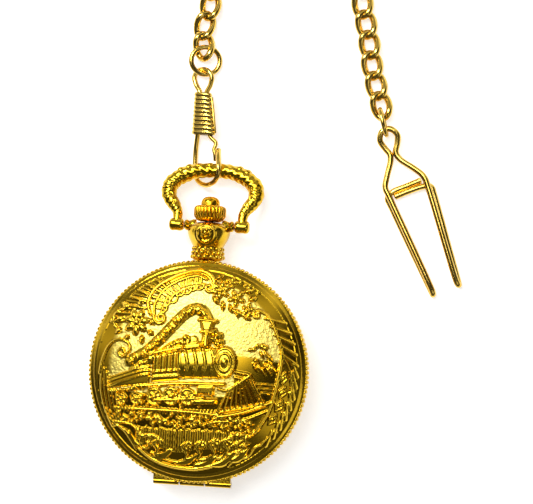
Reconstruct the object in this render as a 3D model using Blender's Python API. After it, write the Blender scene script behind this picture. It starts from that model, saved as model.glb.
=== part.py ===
"""Hunter-case pocket watch with its snap-hook chain and waistcoat clip.

The watch lies on its back: +Z leaves the front cover, +Y points at the crown, the cover's
hinge is on the -Y side, and the origin is the centre of the flat the back rests on.
Every size below is in millimetres; the helpers turn them into metres.
"""

import math

import bmesh
import bpy
from mathutils import Matrix, Vector

MM = 0.001
GAP = 0.3

# Case stack, from the table up
CASE_RADIUS = 22.9
BAND_INNER_RADIUS = 21.7
BAND_BOTTOM = 3.8
BAND_TOP = 8.9
COVER_RADIUS = 23.5
COVER_BOTTOM = 9.2
COVER_TOP = 14.45
DIAL_RADIUS = 20.2
DIAL_BOTTOM = 7.75
DIAL_TOP = 8.0
CRYSTAL_RADIUS = 19.1
HAND_THICKNESS = 0.14
REST_FLAT_RADIUS = 9.0
SNAP_RIM_TOP = 3.9
CASE_STEPS = 48

# Hinge of the front cover
HINGE_Y = -23.6
HINGE_Z = 9.0
KNUCKLE_RADIUS = 0.8
KNUCKLE_BORE = 0.47
HINGE_PIN_RADIUS = 0.35
MIDDLE_KNUCKLE = 2.6
HINGE_HALF = 8.35

# Pendant, crown and push button, all turned about one axis along Y
AXIS_Z = 6.0
BOW_PIVOT_Y = 31.4
STEM_RADIUS = 1.0
STEM_BORE = 0.75
ROD_RADIUS = 0.45
ROD_LOW = 21.5
ROD_HIGH = 36.1
CROSS_PIN_Y = 21.9
CROSS_PIN_RADIUS = 0.22
COLLAR_INNER = 1.3
COLLAR_OUTER = 1.85
COLLAR_HALF = 0.25
CROWN_MIDDLE_Y = 34.0
CROWN_RIBS = 18

# Setting lever: its fork rides in a groove round the stem and slides with it
LEVER_Y = 13.5
LEVER_THICKNESS = 0.4
LEVER_RADIUS = 1.05
LEVER_HOLE = 0.38
GROOVE_RADIUS = 0.2
GROOVE_HALF = 0.5

# Bow
BOW_DROOP = math.asin(0.232)
BARREL_INNER = 5.7
BARREL_OUTER = 8.7
BARREL_RADIUS = 1.3
EAR_RADIUS = 1.05
PIVOT_BORE = 0.6
PIVOT_RADIUS = 0.42

SIDES = (("left", -1), ("right", 1))

# Latch spring, an arc from its fixed end past the stem
LATCH_RADIUS = 20.9
LATCH_START = 122
LATCH_END = 74
SPRING_THICKNESS = 0.35
LATCH_BOTTOM = 4.4
LATCH_TOP = 7.7

# Movement: wheel centres in plan
PLATE_RADIUS = 11.5
PLATE_BOTTOM = 4.8
PLATE_TOP = 6.9
HOLDER_RADIUS = 19.9
HOLDER_BOTTOM = 4.6
CENTRE = (0.0, 0.0)
THIRD = (0.9, 3.31)
FIFTH = (3.4, -3.5)
ROTOR = (5.4, -5.25)
MINUTE_WORK = (-1.5, 1.91)
BATTERY = (-7.9, -1.5)
BATTERY_RADIUS = 3.4
BRIDGE_SCREWS = ((5.9, -0.4), (-1.6, 6.4))
ARBOR_BOTTOM = 1.75
ARBOR_TOP = 4.65

# Wheel teeth, from the rotor to the centre, then the motion work under the dial
ROTOR_PINION = 10
FIFTH_TEETH, FIFTH_PINION = 50, 10
SECONDS_TEETH, SECONDS_PINION = 60, 8
THIRD_TEETH, THIRD_PINION = 64, 8
CENTRE_TEETH, CANNON_PINION = 60, 10
MINUTE_TEETH, MINUTE_PINION = 30, 10
HOUR_TEETH = 40
TOOTH_PLAY = 0.03

# Hands, as turned clockwise from twelve o'clock
HOUR_ANGLE = 305
MINUTE_ANGLE = 60
SECOND_ANGLE = 210

# Clasp wires and sleeve
HOOK_WIRE = 0.5
GATE_WIRE = 0.42
GATE_PIVOT = (-2.5, 56.3, 2.0)
CLASP_PIVOT = (-1.0, 43.5, 3.1)
JUMP_RING_CENTRE = (-3.7, 67.7, 1.55)
JUMP_RING_RADIUS = 3.0
JUMP_RING_LEAN = 0.32
JUMP_RING_PIVOT = (-3.9, 65.2, 1.55)

# Chain, laid flat on the table
LINK_WIDTH = 4.9
LINK_HEIGHT = 2.4
COIL_CENTRE = (13.4, 105.0)
COIL_OUTER = 26.2
COIL_INNER = 15.9
CHAIN_PIVOT = (-4.2, 70.7, 1.3)
CHAIN_MIDDLE_Z = 1.25

# Waistcoat clip: where its loop's top is, and which way it points
CLIP_TOP = (36.4, 54.6)
CLIP_HEADING = (0.397, -0.918)
CLIP_WIRE = 0.55
CLIP_RING_CENTRE = (36.05, 55.65, 2.4)
CLIP_RING_HEADING = (0.28, -0.96)
CLIP_RING_HALF = (2.9, 1.85)
CLIP_RING_PIVOT = (35.5, 57.9, 1.9)

GOLD = (0.83, 0.60, 0.07)
STEEL = (0.55, 0.56, 0.58)
BRASS = (0.72, 0.55, 0.25)


# --- helpers -------------------------------------------------------------------------


def clear_scene():
    for obj in list(bpy.data.objects):
        bpy.data.objects.remove(obj, do_unlink=True)


def make_material(name, colour, roughness, metallic):
    made = bpy.data.materials.new(name)
    made.use_nodes = True
    shader = made.node_tree.nodes["Principled BSDF"]
    shader.inputs["Base Color"].default_value = (*colour, 1.0)
    shader.inputs["Roughness"].default_value = roughness
    shader.inputs["Metallic"].default_value = metallic
    return made


def add_object(bm, name, colour=GOLD, roughness=0.2, metallic=1.0, origin=(0, 0, 0)):
    """An object whose origin is at the given point; bm holds world millimetres."""
    bmesh.ops.recalc_face_normals(bm, faces=bm.faces)
    if bm.calc_volume(signed=True) < 0:
        bmesh.ops.reverse_faces(bm, faces=bm.faces)
    bmesh.ops.transform(bm, matrix=Matrix.Translation(-Vector(origin)), verts=bm.verts)
    bmesh.ops.transform(bm, matrix=Matrix.Scale(MM, 4), verts=bm.verts)
    mesh = bpy.data.meshes.new(name)
    bm.to_mesh(mesh)
    bm.free()
    mesh.shade_smooth()
    mesh.set_sharp_from_angle(angle=math.radians(35))
    obj = bpy.data.objects.new(name, mesh)
    obj.location = Vector(origin) * MM
    obj.data.materials.append(make_material(name, colour, roughness, metallic))
    bpy.context.collection.objects.link(obj)
    return obj


def combine(obj, shape, operation, label):
    """Adds a hidden helper solid to the object, or cuts it away."""
    helper = add_object(shape, f"{obj.name}_{label}")
    helper.hide_render = True
    helper.display_type = "WIRE"
    modifier = obj.modifiers.new(label, "BOOLEAN")
    modifier.operation = operation
    modifier.solver = "EXACT"
    modifier.object = helper


def turned(profile, steps, along="z", centre=(0.0, 0.0, 0.0), ribs=None):
    """A profile of (radius, height) spun about an axis. A closed ring unless it starts at 0.

    ribs = (first, last, depth) sinks every other column of those profile points.
    """
    bm = bmesh.new()
    rows = []
    for number, (radius, height) in enumerate(profile):
        row = []
        for step in range(steps if radius > 0 else 1):
            angle = 2 * math.pi * step / steps
            sunk = ribs and ribs[0] <= number <= ribs[1] and step % 2
            r = radius - (ribs[2] if sunk else 0)
            a, b = r * math.cos(angle), r * math.sin(angle)
            place = (a, b, height) if along == "z" else (b, height, a)
            row.append(bm.verts.new(Vector(place) + Vector(centre)))
        rows.append(row)
    pairs = list(zip(rows, rows[1:]))
    if profile[0][0] > 0:
        pairs.append((rows[-1], rows[0]))
    for low, high in pairs:
        for step in range(steps):
            following = (step + 1) % steps
            corners = [low[step % len(low)], low[following % len(low)]]
            corners += [high[following % len(high)], high[step % len(high)]]
            corners = list(dict.fromkeys(corners))
            if len(corners) > 2:
                bm.faces.new(corners)
    return bm


def cylinder_x(x_low, x_high, y, z, radius, steps=16):
    profile = [(0, x_low), (radius, x_low), (radius, x_high), (0, x_high)]
    bm = turned(profile, steps)
    turn = Matrix.Rotation(math.radians(90), 4, "Y")
    bmesh.ops.transform(bm, matrix=Matrix.Translation((0, y, z)) @ turn, verts=bm.verts)
    return bm


def cylinder_y(y_low, y_high, radius, x=0.0, z=AXIS_Z, steps=20):
    profile = [(0, y_low), (radius, y_low), (radius, y_high), (0, y_high)]
    return turned(profile, steps, "y", (x, 0, z))


def disc(centre, radius, z_low, z_high, steps=32, hole=0.0):
    if hole:
        profile = [(hole, z_low), (radius, z_low), (radius, z_high), (hole, z_high)]
    else:
        profile = [(0, z_low), (radius, z_low), (radius, z_high), (0, z_high)]
    return turned(profile, steps, centre=(*centre, 0))


def block(low, high):
    bm = bmesh.new()
    size = Vector(high) - Vector(low)
    middle = (Vector(high) + Vector(low)) / 2
    matrix = Matrix.Translation(middle) @ Matrix.Diagonal((*size, 1.0))
    bmesh.ops.create_cube(bm, size=1.0, matrix=matrix)
    return bm


def prism(outline, z_low, z_high):
    bm = bmesh.new()
    lower = [bm.verts.new((x, y, z_low)) for x, y in outline]
    upper = [bm.verts.new((x, y, z_high)) for x, y in outline]
    bm.faces.new(lower)
    bm.faces.new(upper)
    for n in range(len(outline)):
        following = (n + 1) % len(outline)
        bm.faces.new((lower[n], lower[following], upper[following], upper[n]))
    return bm


def arc_strip(radius, thickness, start, end, z_low, z_high, steps):
    """A flat spring bent to a part of a circle."""
    inner, outer = [], []
    for n in range(steps + 1):
        angle = math.radians(start + (end - start) * n / steps)
        inner.append((radius * math.cos(angle), radius * math.sin(angle)))
        far = radius + thickness
        outer.append((far * math.cos(angle), far * math.sin(angle)))
    return prism(inner + outer[::-1], z_low, z_high)


def smooth(points, cuts, closed=False):
    """Points on a Catmull-Rom curve through the given ones. All values run along with it."""
    count = len(points)
    found = []
    for n in range(count if closed else count - 1):
        if closed:
            near = [points[(n + k) % count] for k in (-1, 0, 1, 2)]
        else:
            near = [points[min(max(n + k, 0), count - 1)] for k in (-1, 0, 1, 2)]
        for cut in range(cuts):
            t = cut / cuts
            weights = (
                -0.5 * t + t**2 - 0.5 * t**3,
                1 - 2.5 * t**2 + 1.5 * t**3,
                0.5 * t + 2 * t**2 - 1.5 * t**3,
                -0.5 * t**2 + 0.5 * t**3,
            )
            value = zip(*near)
            found.append(tuple(sum(w * v for w, v in zip(weights, axis)) for axis in value))
    if not closed:
        found.append(tuple(points[-1]))
    return found


def wire(path, radius, sides=6, closed=False):
    """A round wire along a path of (x, y, z), or (x, y, z, radius)."""
    bm = bmesh.new()
    spots = [Vector(p[:3]) for p in path]
    count = len(spots)
    side = None
    rings = []
    for n, spot in enumerate(spots):
        before = spots[n - 1] if closed or n else spot
        after = spots[(n + 1) % count] if closed or n + 1 < count else spot
        tangent = (after - before).normalized()
        if side is None:
            side = tangent.orthogonal()
        side = (side - tangent * side.dot(tangent)).normalized()
        other = tangent.cross(side)
        r = path[n][3] if len(path[n]) > 3 else radius
        ring = []
        for k in range(sides):
            angle = 2 * math.pi * k / sides
            ring.append(bm.verts.new(spot + r * (math.cos(angle) * side + math.sin(angle) * other)))
        rings.append(ring)
    shift = 0
    if closed:
        shift = min(range(sides), key=lambda k: (rings[0][k].co - rings[-1][0].co).length)
    joints = [(rings[n], rings[n + 1], 0) for n in range(count - 1)]
    if closed:
        joints.append((rings[-1], rings[0], shift))
    else:
        bm.faces.new(rings[0][::-1])
        bm.faces.new(rings[-1])
    for low, high, turn in joints:
        for k in range(sides):
            after = (k + 1) % sides
            bm.faces.new((low[k], low[after], high[(after + turn) % sides], high[(k + turn) % sides]))
    return bm


def heading(start, end):
    return math.degrees(math.atan2(end[1] - start[1], end[0] - start[0]))


def toothed(centre, teeth, radius, z_low, z_high, tooth_at):
    """A wheel or pinion with one tooth pointing along tooth_at, in degrees."""
    module = 2 * radius / teeth
    outline = []
    for n in range(2 * teeth):
        reach = radius + 0.5 * module if n % 2 == 0 else radius - 0.9 * module
        reach -= TOOTH_PLAY
        angle = math.radians(tooth_at) + math.pi * n / teeth
        outline.append((centre[0] + reach * math.cos(angle), centre[1] + reach * math.sin(angle)))
    return prism(outline, z_low, z_high)


# --- case ----------------------------------------------------------------------------


def make_back_cover():
    outside = [(0, 0), (REST_FLAT_RADIUS, 0), (15, 0.5), (19.5, 1.4), (21.8, 2.4), (22.6, 3.0)]
    rim = [(22.6, 3.5), (21.35, 3.5), (21.35, SNAP_RIM_TOP), (20.8, SNAP_RIM_TOP), (20.8, 3.1)]
    inside = [(19.2, 2.2), (15, 1.25), (REST_FLAT_RADIUS, 0.75), (0, 0.75)]
    add_object(turned(outside + rim + inside, CASE_STEPS), "back_cover")


def make_mid_case():
    profile = [
        (CASE_RADIUS - 0.5, BAND_BOTTOM),
        (CASE_RADIUS, BAND_BOTTOM + 0.7),
        (CASE_RADIUS, BAND_TOP - 0.5),
        (CASE_RADIUS - 0.3, BAND_TOP),
        (BAND_INNER_RADIUS, BAND_TOP),
        (BAND_INNER_RADIUS, BAND_BOTTOM),
    ]
    case = add_object(turned(profile, CASE_STEPS), "mid_case")
    arm = block((-MIDDLE_KNUCKLE, HINGE_Y, 8.2), (MIDDLE_KNUCKLE, -22.0, 8.85))
    combine(case, arm, "UNION", "knuckle_arm")
    barrel = cylinder_x(-MIDDLE_KNUCKLE, MIDDLE_KNUCKLE, HINGE_Y, HINGE_Z, KNUCKLE_RADIUS)
    combine(case, barrel, "UNION", "knuckle")
    clearance = KNUCKLE_RADIUS + GAP
    for side, low, high in (("left", -9.2, -2.75), ("right", 2.75, 9.2)):
        cut = cylinder_x(low, high, HINGE_Y, HINGE_Z, clearance)
        combine(case, cut, "DIFFERENCE", f"hinge_seat_{side}")
    combine(case, cylinder_x(-4, 4, HINGE_Y, HINGE_Z, KNUCKLE_BORE), "DIFFERENCE", "pin_bore")
    combine(case, cylinder_y(20.5, 24.5, 2.1), "DIFFERENCE", "stem_bore")


def make_front_cover():
    inside = [(0, 13.75), (6, 13.6), (11.5, 13.2), (16.5, 12.4), (20.2, 11.3), (21.9, 10.4)]
    rim = [(22.3, 9.8), (22.3, COVER_BOTTOM), (COVER_RADIUS, COVER_BOTTOM), (COVER_RADIUS, 10.2)]
    outside = [(22.6, 11.0), (20.5, 12.0), (16.5, 13.1), (11.5, 13.9), (6, 14.3), (0, COVER_TOP)]
    bm = turned(inside + rim + outside, CASE_STEPS)
    cover = add_object(bm, "front_cover", origin=(0, HINGE_Y, HINGE_Z))
    middle = MIDDLE_KNUCKLE + GAP
    seat = cylinder_x(-middle, middle, HINGE_Y, HINGE_Z, KNUCKLE_RADIUS + GAP)
    combine(cover, seat, "DIFFERENCE", "hinge_seat")
    for side, low, high in (("left", -HINGE_HALF, -middle), ("right", middle, HINGE_HALF)):
        combine(cover, block((low, -23.4, 9.3), (high, -21.3, 9.9)), "UNION", f"arm_{side}")
        barrel = cylinder_x(low, high, HINGE_Y, HINGE_Z, KNUCKLE_RADIUS)
        combine(cover, barrel, "UNION", f"knuckle_{side}")
    combine(cover, cylinder_x(-9, 9, HINGE_Y, HINGE_Z, KNUCKLE_BORE), "DIFFERENCE", "pin_bore")
    combine(cover, block((-2.0, 20.95, 8.1), (2.0, 21.4, 10.95)), "UNION", "catch_lip")


def make_hinge_pin():
    pin = cylinder_x(-8.2, 8.2, HINGE_Y, HINGE_Z, HINGE_PIN_RADIUS, 12)
    add_object(pin, "hinge_pin", STEEL, 0.3)


def make_springs():
    lift = arc_strip(LATCH_RADIUS, SPRING_THICKNESS, 232, 308, 5.0, 7.6, 14)
    add_object(lift, "lift_spring", STEEL, 0.3)
    fixed_end = math.radians(LATCH_START)
    pivot = (LATCH_RADIUS * math.cos(fixed_end), LATCH_RADIUS * math.sin(fixed_end), AXIS_Z)
    strip = arc_strip(LATCH_RADIUS, SPRING_THICKNESS, LATCH_END, LATCH_START, LATCH_BOTTOM, LATCH_TOP, 12)
    latch = add_object(strip, "latch_spring", STEEL, 0.3, origin=pivot)
    combine(latch, cylinder_y(20, 22, 1.3), "DIFFERENCE", "stem_hole")


def make_pendant():
    outside = [(2.85, 23.25), (2.85, 23.8), (3.45, 24.1), (3.2, 25.6), (3.5, 26.9), (4.2, 28.4)]
    top = [(4.6, 29.7), (4.6, 30.6), (3.95, 31.25), (3.1, 31.8), (1.3, 31.8), (1.3, 25.0)]
    profile = outside + top + [(2.25, 24.2), (2.25, 23.25)]
    pendant = add_object(turned(profile, 26, "y", (0, 0, AXIS_Z)), "pendant")
    for side, sign in SIDES:
        low, high = sorted((sign * 3.0, sign * (BARREL_INNER - GAP)))
        ear = cylinder_x(low, high, BOW_PIVOT_Y, AXIS_Z, EAR_RADIUS, 18)
        combine(pendant, ear, "UNION", f"ear_{side}")
        low, high = sorted((sign * 3.9, sign * 6.5))
        bore = cylinder_x(low, high, BOW_PIVOT_Y, AXIS_Z, PIVOT_BORE)
        combine(pendant, bore, "DIFFERENCE", f"pivot_bore_{side}")


def make_bow():
    half = [(0, 12.5, 1.65), (2.6, 12.45, 1.65), (5.2, 11.9, 1.8), (7.6, 10.7, 1.8)]
    half += [(9.1, 9.3, 1.8), (9.6, 7.6, 1.75), (9.2, 5.9, 1.6), (8.1, 4.4, 1.4)]
    half += [(7.3, 3.0, 1.15), (7.1, 1.6, 1.05), (7.2, 0.2, 1.05)]
    outline = [(-u, v, r) for u, v, r in half[:0:-1]] + half
    path = []
    for u, v, r in smooth(outline, 2):
        path.append((u, BOW_PIVOT_Y + v * math.cos(BOW_DROOP), AXIS_Z - v * math.sin(BOW_DROOP), r))
    bow = add_object(wire(path, 0, 10), "bow", origin=(0, BOW_PIVOT_Y, AXIS_Z))
    for side, sign in SIDES:
        low, high = sorted((sign * BARREL_INNER, sign * BARREL_OUTER))
        barrel = cylinder_x(low, high, BOW_PIVOT_Y, AXIS_Z, BARREL_RADIUS)
        combine(bow, barrel, "UNION", f"barrel_{side}")
        low, high = sorted((sign * 5.0, sign * 9.5))
        bore = cylinder_x(low, high, BOW_PIVOT_Y, AXIS_Z, PIVOT_BORE)
        combine(bow, bore, "DIFFERENCE", f"bore_{side}")
        low, high = sorted((sign * 4.2, sign * 8.6))
        pin = cylinder_x(low, high, BOW_PIVOT_Y, AXIS_Z, PIVOT_RADIUS, 12)
        add_object(pin, f"bow_screw_{side}", STEEL, 0.3)


def make_crown():
    outside = [(2.1, 32.2), (3.0, 32.7), (3.5, 33.1), (3.5, 35.3), (3.0, 35.75)]
    inside = [(2.3, 35.75), (2.3, 34.0), (0.75, 34.0), (0.75, 33.6), (1.3, 33.6), (1.3, 32.2)]
    bm = turned(outside + inside, 2 * CROWN_RIBS, "y", (0, 0, AXIS_Z), ribs=(2, 3, 0.22))
    add_object(bm, "crown", origin=(0, CROWN_MIDDLE_Y, AXIS_Z))


def make_push_button():
    socket = [(0, 36.4), (0.75, 36.4), (0.75, 35.0)]
    outside = [(2.0, 35.0), (2.0, 37.0), (1.6, 37.45), (0.9, 37.68), (0, 37.75)]
    bm = turned(socket + outside, 20, "y", (0, 0, AXIS_Z))
    add_object(bm, "push_button", origin=(0, 35, AXIS_Z))
    shank = cylinder_y(ROD_LOW, ROD_HIGH, ROD_RADIUS, steps=12)
    rod = add_object(shank, "push_rod", STEEL, 0.3, origin=(0, 35, AXIS_Z))
    low, high = CROSS_PIN_Y - COLLAR_HALF, CROSS_PIN_Y + COLLAR_HALF
    profile = [(COLLAR_INNER, low), (COLLAR_OUTER, low), (COLLAR_OUTER, high), (COLLAR_INNER, high)]
    collar = turned(profile, 20, "y", (0, 0, AXIS_Z))
    cross_pin = cylinder_x(-1.6, 1.6, CROSS_PIN_Y, AXIS_Z, CROSS_PIN_RADIUS, 10)
    combine(rod, cross_pin, "UNION", "cross_pin")
    combine(rod, collar, "UNION", "collar")


def make_setting_stem():
    groove_low, groove_high = LEVER_Y - GROOVE_HALF, LEVER_Y + GROOVE_HALF
    outside = [(0, 12.0), (0.5, 12.0), (0.5, groove_low), (GROOVE_RADIUS, groove_low)]
    outside += [(GROOVE_RADIUS, groove_high), (0.5, groove_high), (0.5, 20.0)]
    outside += [(STEM_RADIUS, 20.3), (STEM_RADIUS, 33.3)]
    inside = [(STEM_BORE, 33.3), (STEM_BORE, 20.7), (0, 20.7)]
    bm = turned(outside + inside, 16, "y", (0, 0, AXIS_Z))
    stem = add_object(bm, "setting_stem", STEEL, 0.3, origin=(0, CROWN_MIDDLE_Y, AXIS_Z))
    slot = block((-1.5, 20.75, AXIS_Z - 0.35), (1.5, 22.35, AXIS_Z + 0.35))
    combine(stem, slot, "DIFFERENCE", "pin_slot")


def make_setting_lever():
    low, high = LEVER_Y - LEVER_THICKNESS / 2, LEVER_Y + LEVER_THICKNESS / 2
    profile = [(LEVER_HOLE, low), (LEVER_RADIUS, low), (LEVER_RADIUS, high), (LEVER_HOLE, high)]
    lever = add_object(
        turned(profile, 20, "y", (0, 0, AXIS_Z)), "setting_lever", STEEL, 0.3, origin=(0, LEVER_Y, AXIS_Z)
    )
    mouth = block((-LEVER_HOLE, low - 1, AXIS_Z), (LEVER_HOLE, high + 1, AXIS_Z + 2))
    combine(lever, mouth, "DIFFERENCE", "fork_mouth")


# --- glass, dial and hands -----------------------------------------------------------


def make_bezel_and_crystal():
    profile = [(21.35, 8.2), (21.35, 8.9), (20.6, 9.3), (20.2, 10.3), (19.4, 10.3)]
    profile += [(19.4, 9.45), (18.6, 9.45), (18.6, 8.2)]
    bezel = add_object(turned(profile, CASE_STEPS), "bezel")
    combine(bezel, block((-2.4, 20.65, 8.0), (2.4, 22.0, 9.6)), "DIFFERENCE", "lip_notch")
    dome = [(0, 9.75), (CRYSTAL_RADIUS, 9.75), (CRYSTAL_RADIUS, 10.25), (12, 10.5), (0, 10.65)]
    add_object(turned(dome, 36), "crystal", (0.9, 0.95, 0.95), 0.05, 0.0)


def make_dial():
    dial = disc(CENTRE, DIAL_RADIUS, DIAL_BOTTOM, DIAL_TOP, 36, hole=1.5)
    add_object(dial, "dial", (0.93, 0.92, 0.88), 0.5, 0.0)


def hand_outline(length, width, tail):
    """A leaf-shaped blade along +Y that starts inside its hub."""
    blade = [(0.25, 0), (0.3, 0.35 * length), (width, 0.62 * length), (0.2, 0.9 * length)]
    outline = blade + [(0, length)] + [(-x, y) for x, y in blade[::-1]]
    return outline + [(-0.2, -tail), (0.2, -tail)]


def make_hand(name, length, width, tail, hub, hole, z_low, turn):
    z_high = z_low + HAND_THICKNESS
    blade = prism(hand_outline(length, width, tail), z_low, z_high)
    hand = add_object(blade, name, (0.06, 0.06, 0.08), 0.3)
    combine(hand, disc(CENTRE, hub, z_low, z_high, 20), "UNION", "hub")
    if hole:
        combine(hand, disc(CENTRE, hole, z_low - 0.5, z_high + 0.5, 20), "DIFFERENCE", "hub_hole")
    hand.rotation_euler.z = math.radians(-turn)


def make_hands():
    make_hand("hour_hand", 10.8, 1.1, 1.2, 1.65, 1.06, 8.3, HOUR_ANGLE)
    make_hand("minute_hand", 16.2, 0.9, 1.2, 1.1, 0.55, 8.7, MINUTE_ANGLE)
    make_hand("second_hand", 17.2, 0.25, 4.5, 0.6, 0.2, 9.1, SECOND_ANGLE)


# --- movement ------------------------------------------------------------------------


def make_movement_frame():
    holder = disc(CENTRE, HOLDER_RADIUS, HOLDER_BOTTOM, PLATE_TOP, 36, hole=PLATE_RADIUS + GAP)
    holder = add_object(holder, "movement_holder", (0.9, 0.9, 0.88), 0.5, 0.0)
    combine(holder, cylinder_y(11, 20.8, 1.35), "DIFFERENCE", "stem_channel")
    plate = disc(CENTRE, PLATE_RADIUS, PLATE_BOTTOM, PLATE_TOP, 32, hole=0.8)
    plate = add_object(plate, "main_plate", BRASS)
    combine(plate, cylinder_y(8.5, 13, 0.75), "DIFFERENCE", "stem_bore")
    outline = [(6.9, -7.0), (7.4, -4.0), (4.2, 0.5), (3.0, 6.2), (-1.5, 7.6), (-2.4, 2.0), (0.6, -4.6)]
    bridge = add_object(prism(outline, 1.3, 1.6), "train_bridge", BRASS, 0.35)
    for number, (x, y) in enumerate(BRIDGE_SCREWS, 1):
        combine(bridge, disc((x, y), 0.55, 0.9, 2.0, 14), "DIFFERENCE", f"screw_hole_{number}")
        combine(plate, disc((x, y), 0.62, 4.4, 5.6, 14), "DIFFERENCE", f"screw_seat_{number}")
        shank = [(0, 0.85), (0.85, 0.85), (0.85, 1.2), (0.4, 1.2), (0.4, 5.4), (0, 5.4)]
        add_object(turned(shank, 12, centre=(x, y, 0)), f"bridge_screw_{number}", STEEL, 0.3)


def make_electronics():
    cell = disc(BATTERY, BATTERY_RADIUS, 2.0, 4.5, 28)
    add_object(cell, "battery", STEEL, 0.3)
    strap = block((BATTERY[0] - 2.2, BATTERY[1] - 1.0, 1.45), (BATTERY[0] + 3.8, BATTERY[1] + 1.0, 1.7))
    add_object(strap, "battery_clamp", STEEL, 0.3)
    board = prism([(-9.6, 2.6), (-3.4, 2.6), (-3.4, 5.8), (-4.2, 8.4), (-7.6, 6.8)], 4.05, 4.5)
    add_object(board, "circuit_board", (0.05, 0.25, 0.12), 0.5, 0.0)
    coil = cylinder_x(-1.2, 6.4, -9.3, 3.4, 0.95)
    add_object(coil, "drive_coil", (0.6, 0.25, 0.1), 0.4)
    outline = [(1.0, -8.0), (8.2, -8.0), (8.2, -3.2), (4.2, -3.6), (1.0, -6.4)]
    stator = add_object(prism(outline, 3.4, 3.8), "stator", STEEL, 0.4)
    combine(stator, disc(ROTOR, 1.15, 3.0, 4.2, 20), "DIFFERENCE", "rotor_hole")


def make_wheel(name, place, wheel=None, pinion=None, arbor=(ARBOR_BOTTOM, ARBOR_TOP), magnet=False):
    """An arbor with its wheel and pinion, each given as (teeth, radius, z_low, z_high, tooth_at)."""
    arbor = disc(place, 0.16, *arbor, 10)
    made = add_object(arbor, name, BRASS, 0.3, origin=(*place, 0))
    for label, gear in (("wheel", wheel), ("pinion", pinion)):
        if gear:
            combine(made, toothed(place, *gear), "UNION", label)
    if magnet:
        combine(made, disc(place, 0.8, 3.2, 4.0, 16), "UNION", "magnet")


def make_train():
    """Every pair is in mesh at rest: one has a tooth on the line of centres, the other a gap."""
    to_rotor = heading(FIFTH, ROTOR)
    to_fifth = heading(CENTRE, FIFTH)
    to_third = heading(CENTRE, THIRD)
    to_minute = heading(CENTRE, MINUTE_WORK)
    make_wheel(
        "rotor",
        ROTOR,
        pinion=(ROTOR_PINION, 0.438, 2.0, 2.8, to_rotor + 180 + 180 / ROTOR_PINION),
        magnet=True,
    )
    make_wheel(
        "fifth_wheel",
        FIFTH,
        wheel=(FIFTH_TEETH, 2.19, 2.3, 2.5, to_rotor),
        pinion=(FIFTH_PINION, 0.693, 2.75, 3.25, to_fifth + 180 + 180 / FIFTH_PINION),
    )
    make_wheel(
        "seconds_wheel",
        CENTRE,
        wheel=(SECONDS_TEETH, 4.157, 2.9, 3.1, to_fifth),
        pinion=(SECONDS_PINION, 0.378, 3.4, 3.85, to_third),
        arbor=(ARBOR_BOTTOM, 9.3),
    )
    make_wheel(
        "third_wheel",
        THIRD,
        wheel=(THIRD_TEETH, 3.022, 3.5, 3.7, to_third + 180 + 180 / THIRD_TEETH),
        pinion=(THIRD_PINION, 0.4, 4.0, 4.6, to_third + 180 + 180 / THIRD_PINION),
        arbor=(3.25, ARBOR_TOP),
    )
    cannon = add_object(disc(CENTRE, 0.5, 4.2, 8.9, 16), "centre_wheel", BRASS, 0.3)
    wheel = toothed(CENTRE, CENTRE_TEETH, 3.0, 4.2, 4.4, to_third)
    combine(cannon, wheel, "UNION", "wheel")
    pinion = toothed(CENTRE, CANNON_PINION, 0.6, 7.05, 7.3, to_minute)
    combine(cannon, pinion, "UNION", "cannon_pinion")
    combine(cannon, disc(CENTRE, 0.3, 3.5, 9.5, 14), "DIFFERENCE", "bore")
    arbor = disc(MINUTE_WORK, 0.2, 7.0, 7.65, 10)
    made = add_object(arbor, "minute_wheel", BRASS, 0.3, origin=(*MINUTE_WORK, 0))
    wheel = toothed(MINUTE_WORK, MINUTE_TEETH, 1.8, 7.08, 7.25, to_minute + 180 + 180 / MINUTE_TEETH)
    combine(made, wheel, "UNION", "wheel")
    pinion = toothed(MINUTE_WORK, MINUTE_PINION, 0.48, 7.2, 7.6, to_minute + 180)
    combine(made, pinion, "UNION", "pinion")
    hour = add_object(disc(CENTRE, 1.0, 7.4, 8.5, 20), "hour_wheel", BRASS, 0.3)
    wheel = toothed(CENTRE, HOUR_TEETH, 1.92, 7.4, 7.55, to_minute + 180 / HOUR_TEETH)
    combine(hour, wheel, "UNION", "wheel")
    combine(hour, disc(CENTRE, 0.74, 7.0, 9.0, 20), "DIFFERENCE", "bore")


# --- clasp, chain and clip -----------------------------------------------------------


def make_clasp():
    hook = [(0.5, 48.3, 2.75), (0.8, 46.6, 4.3), (1.2, 44.4, 5.5), (1.15, 42.6, 5.35)]
    hook += [(0.2, 41.1, 4.4), (-1.7, 40.4, 2.9), (-3.6, 41.1, 1.5), (-4.7, 42.7, 0.72)]
    hook += [(-4.9, 44.8, 0.6), (-4.9, 48.2, 0.75), (-4.55, 51.6, 1.45), (-4.4, 56.0, 1.6)]
    loop = [(-4.45, 60.3, 1.5), (-5.6, 62.4, 0.9), (-6.15, 64.1, 0.66), (-5.5, 65.4, 0.9)]
    loop += [(-4.1, 65.8, 1.6), (-2.7, 65.3, 2.3), (-1.95, 64.0, 2.5), (-2.2, 62.3, 2.35)]
    loop += [(-2.95, 60.5, 2.15), (-2.8, 57.4, 2.1)]
    path = smooth(hook + loop, 2)
    add_object(wire(path, HOOK_WIRE), "clasp_hook", origin=CLASP_PIVOT)
    gate = [(-2.6, 56.2, 2.0), (-1.9, 51.6, 1.95), (-0.35, 49.8, 2.05), (-0.62, 48.3, 2.1)]
    gate += [(-0.35, 47.2, 2.1), (-0.2, 45.75, 1.95)]
    add_object(wire(smooth(gate, 2), GATE_WIRE), "clasp_gate", origin=GATE_PIVOT)
    sleeve = add_object(sleeve_shape(0, 0), "clasp_sleeve", origin=CLASP_PIVOT)
    combine(sleeve, sleeve_shape(0.45, 0.6), "DIFFERENCE", "hollow")


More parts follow.
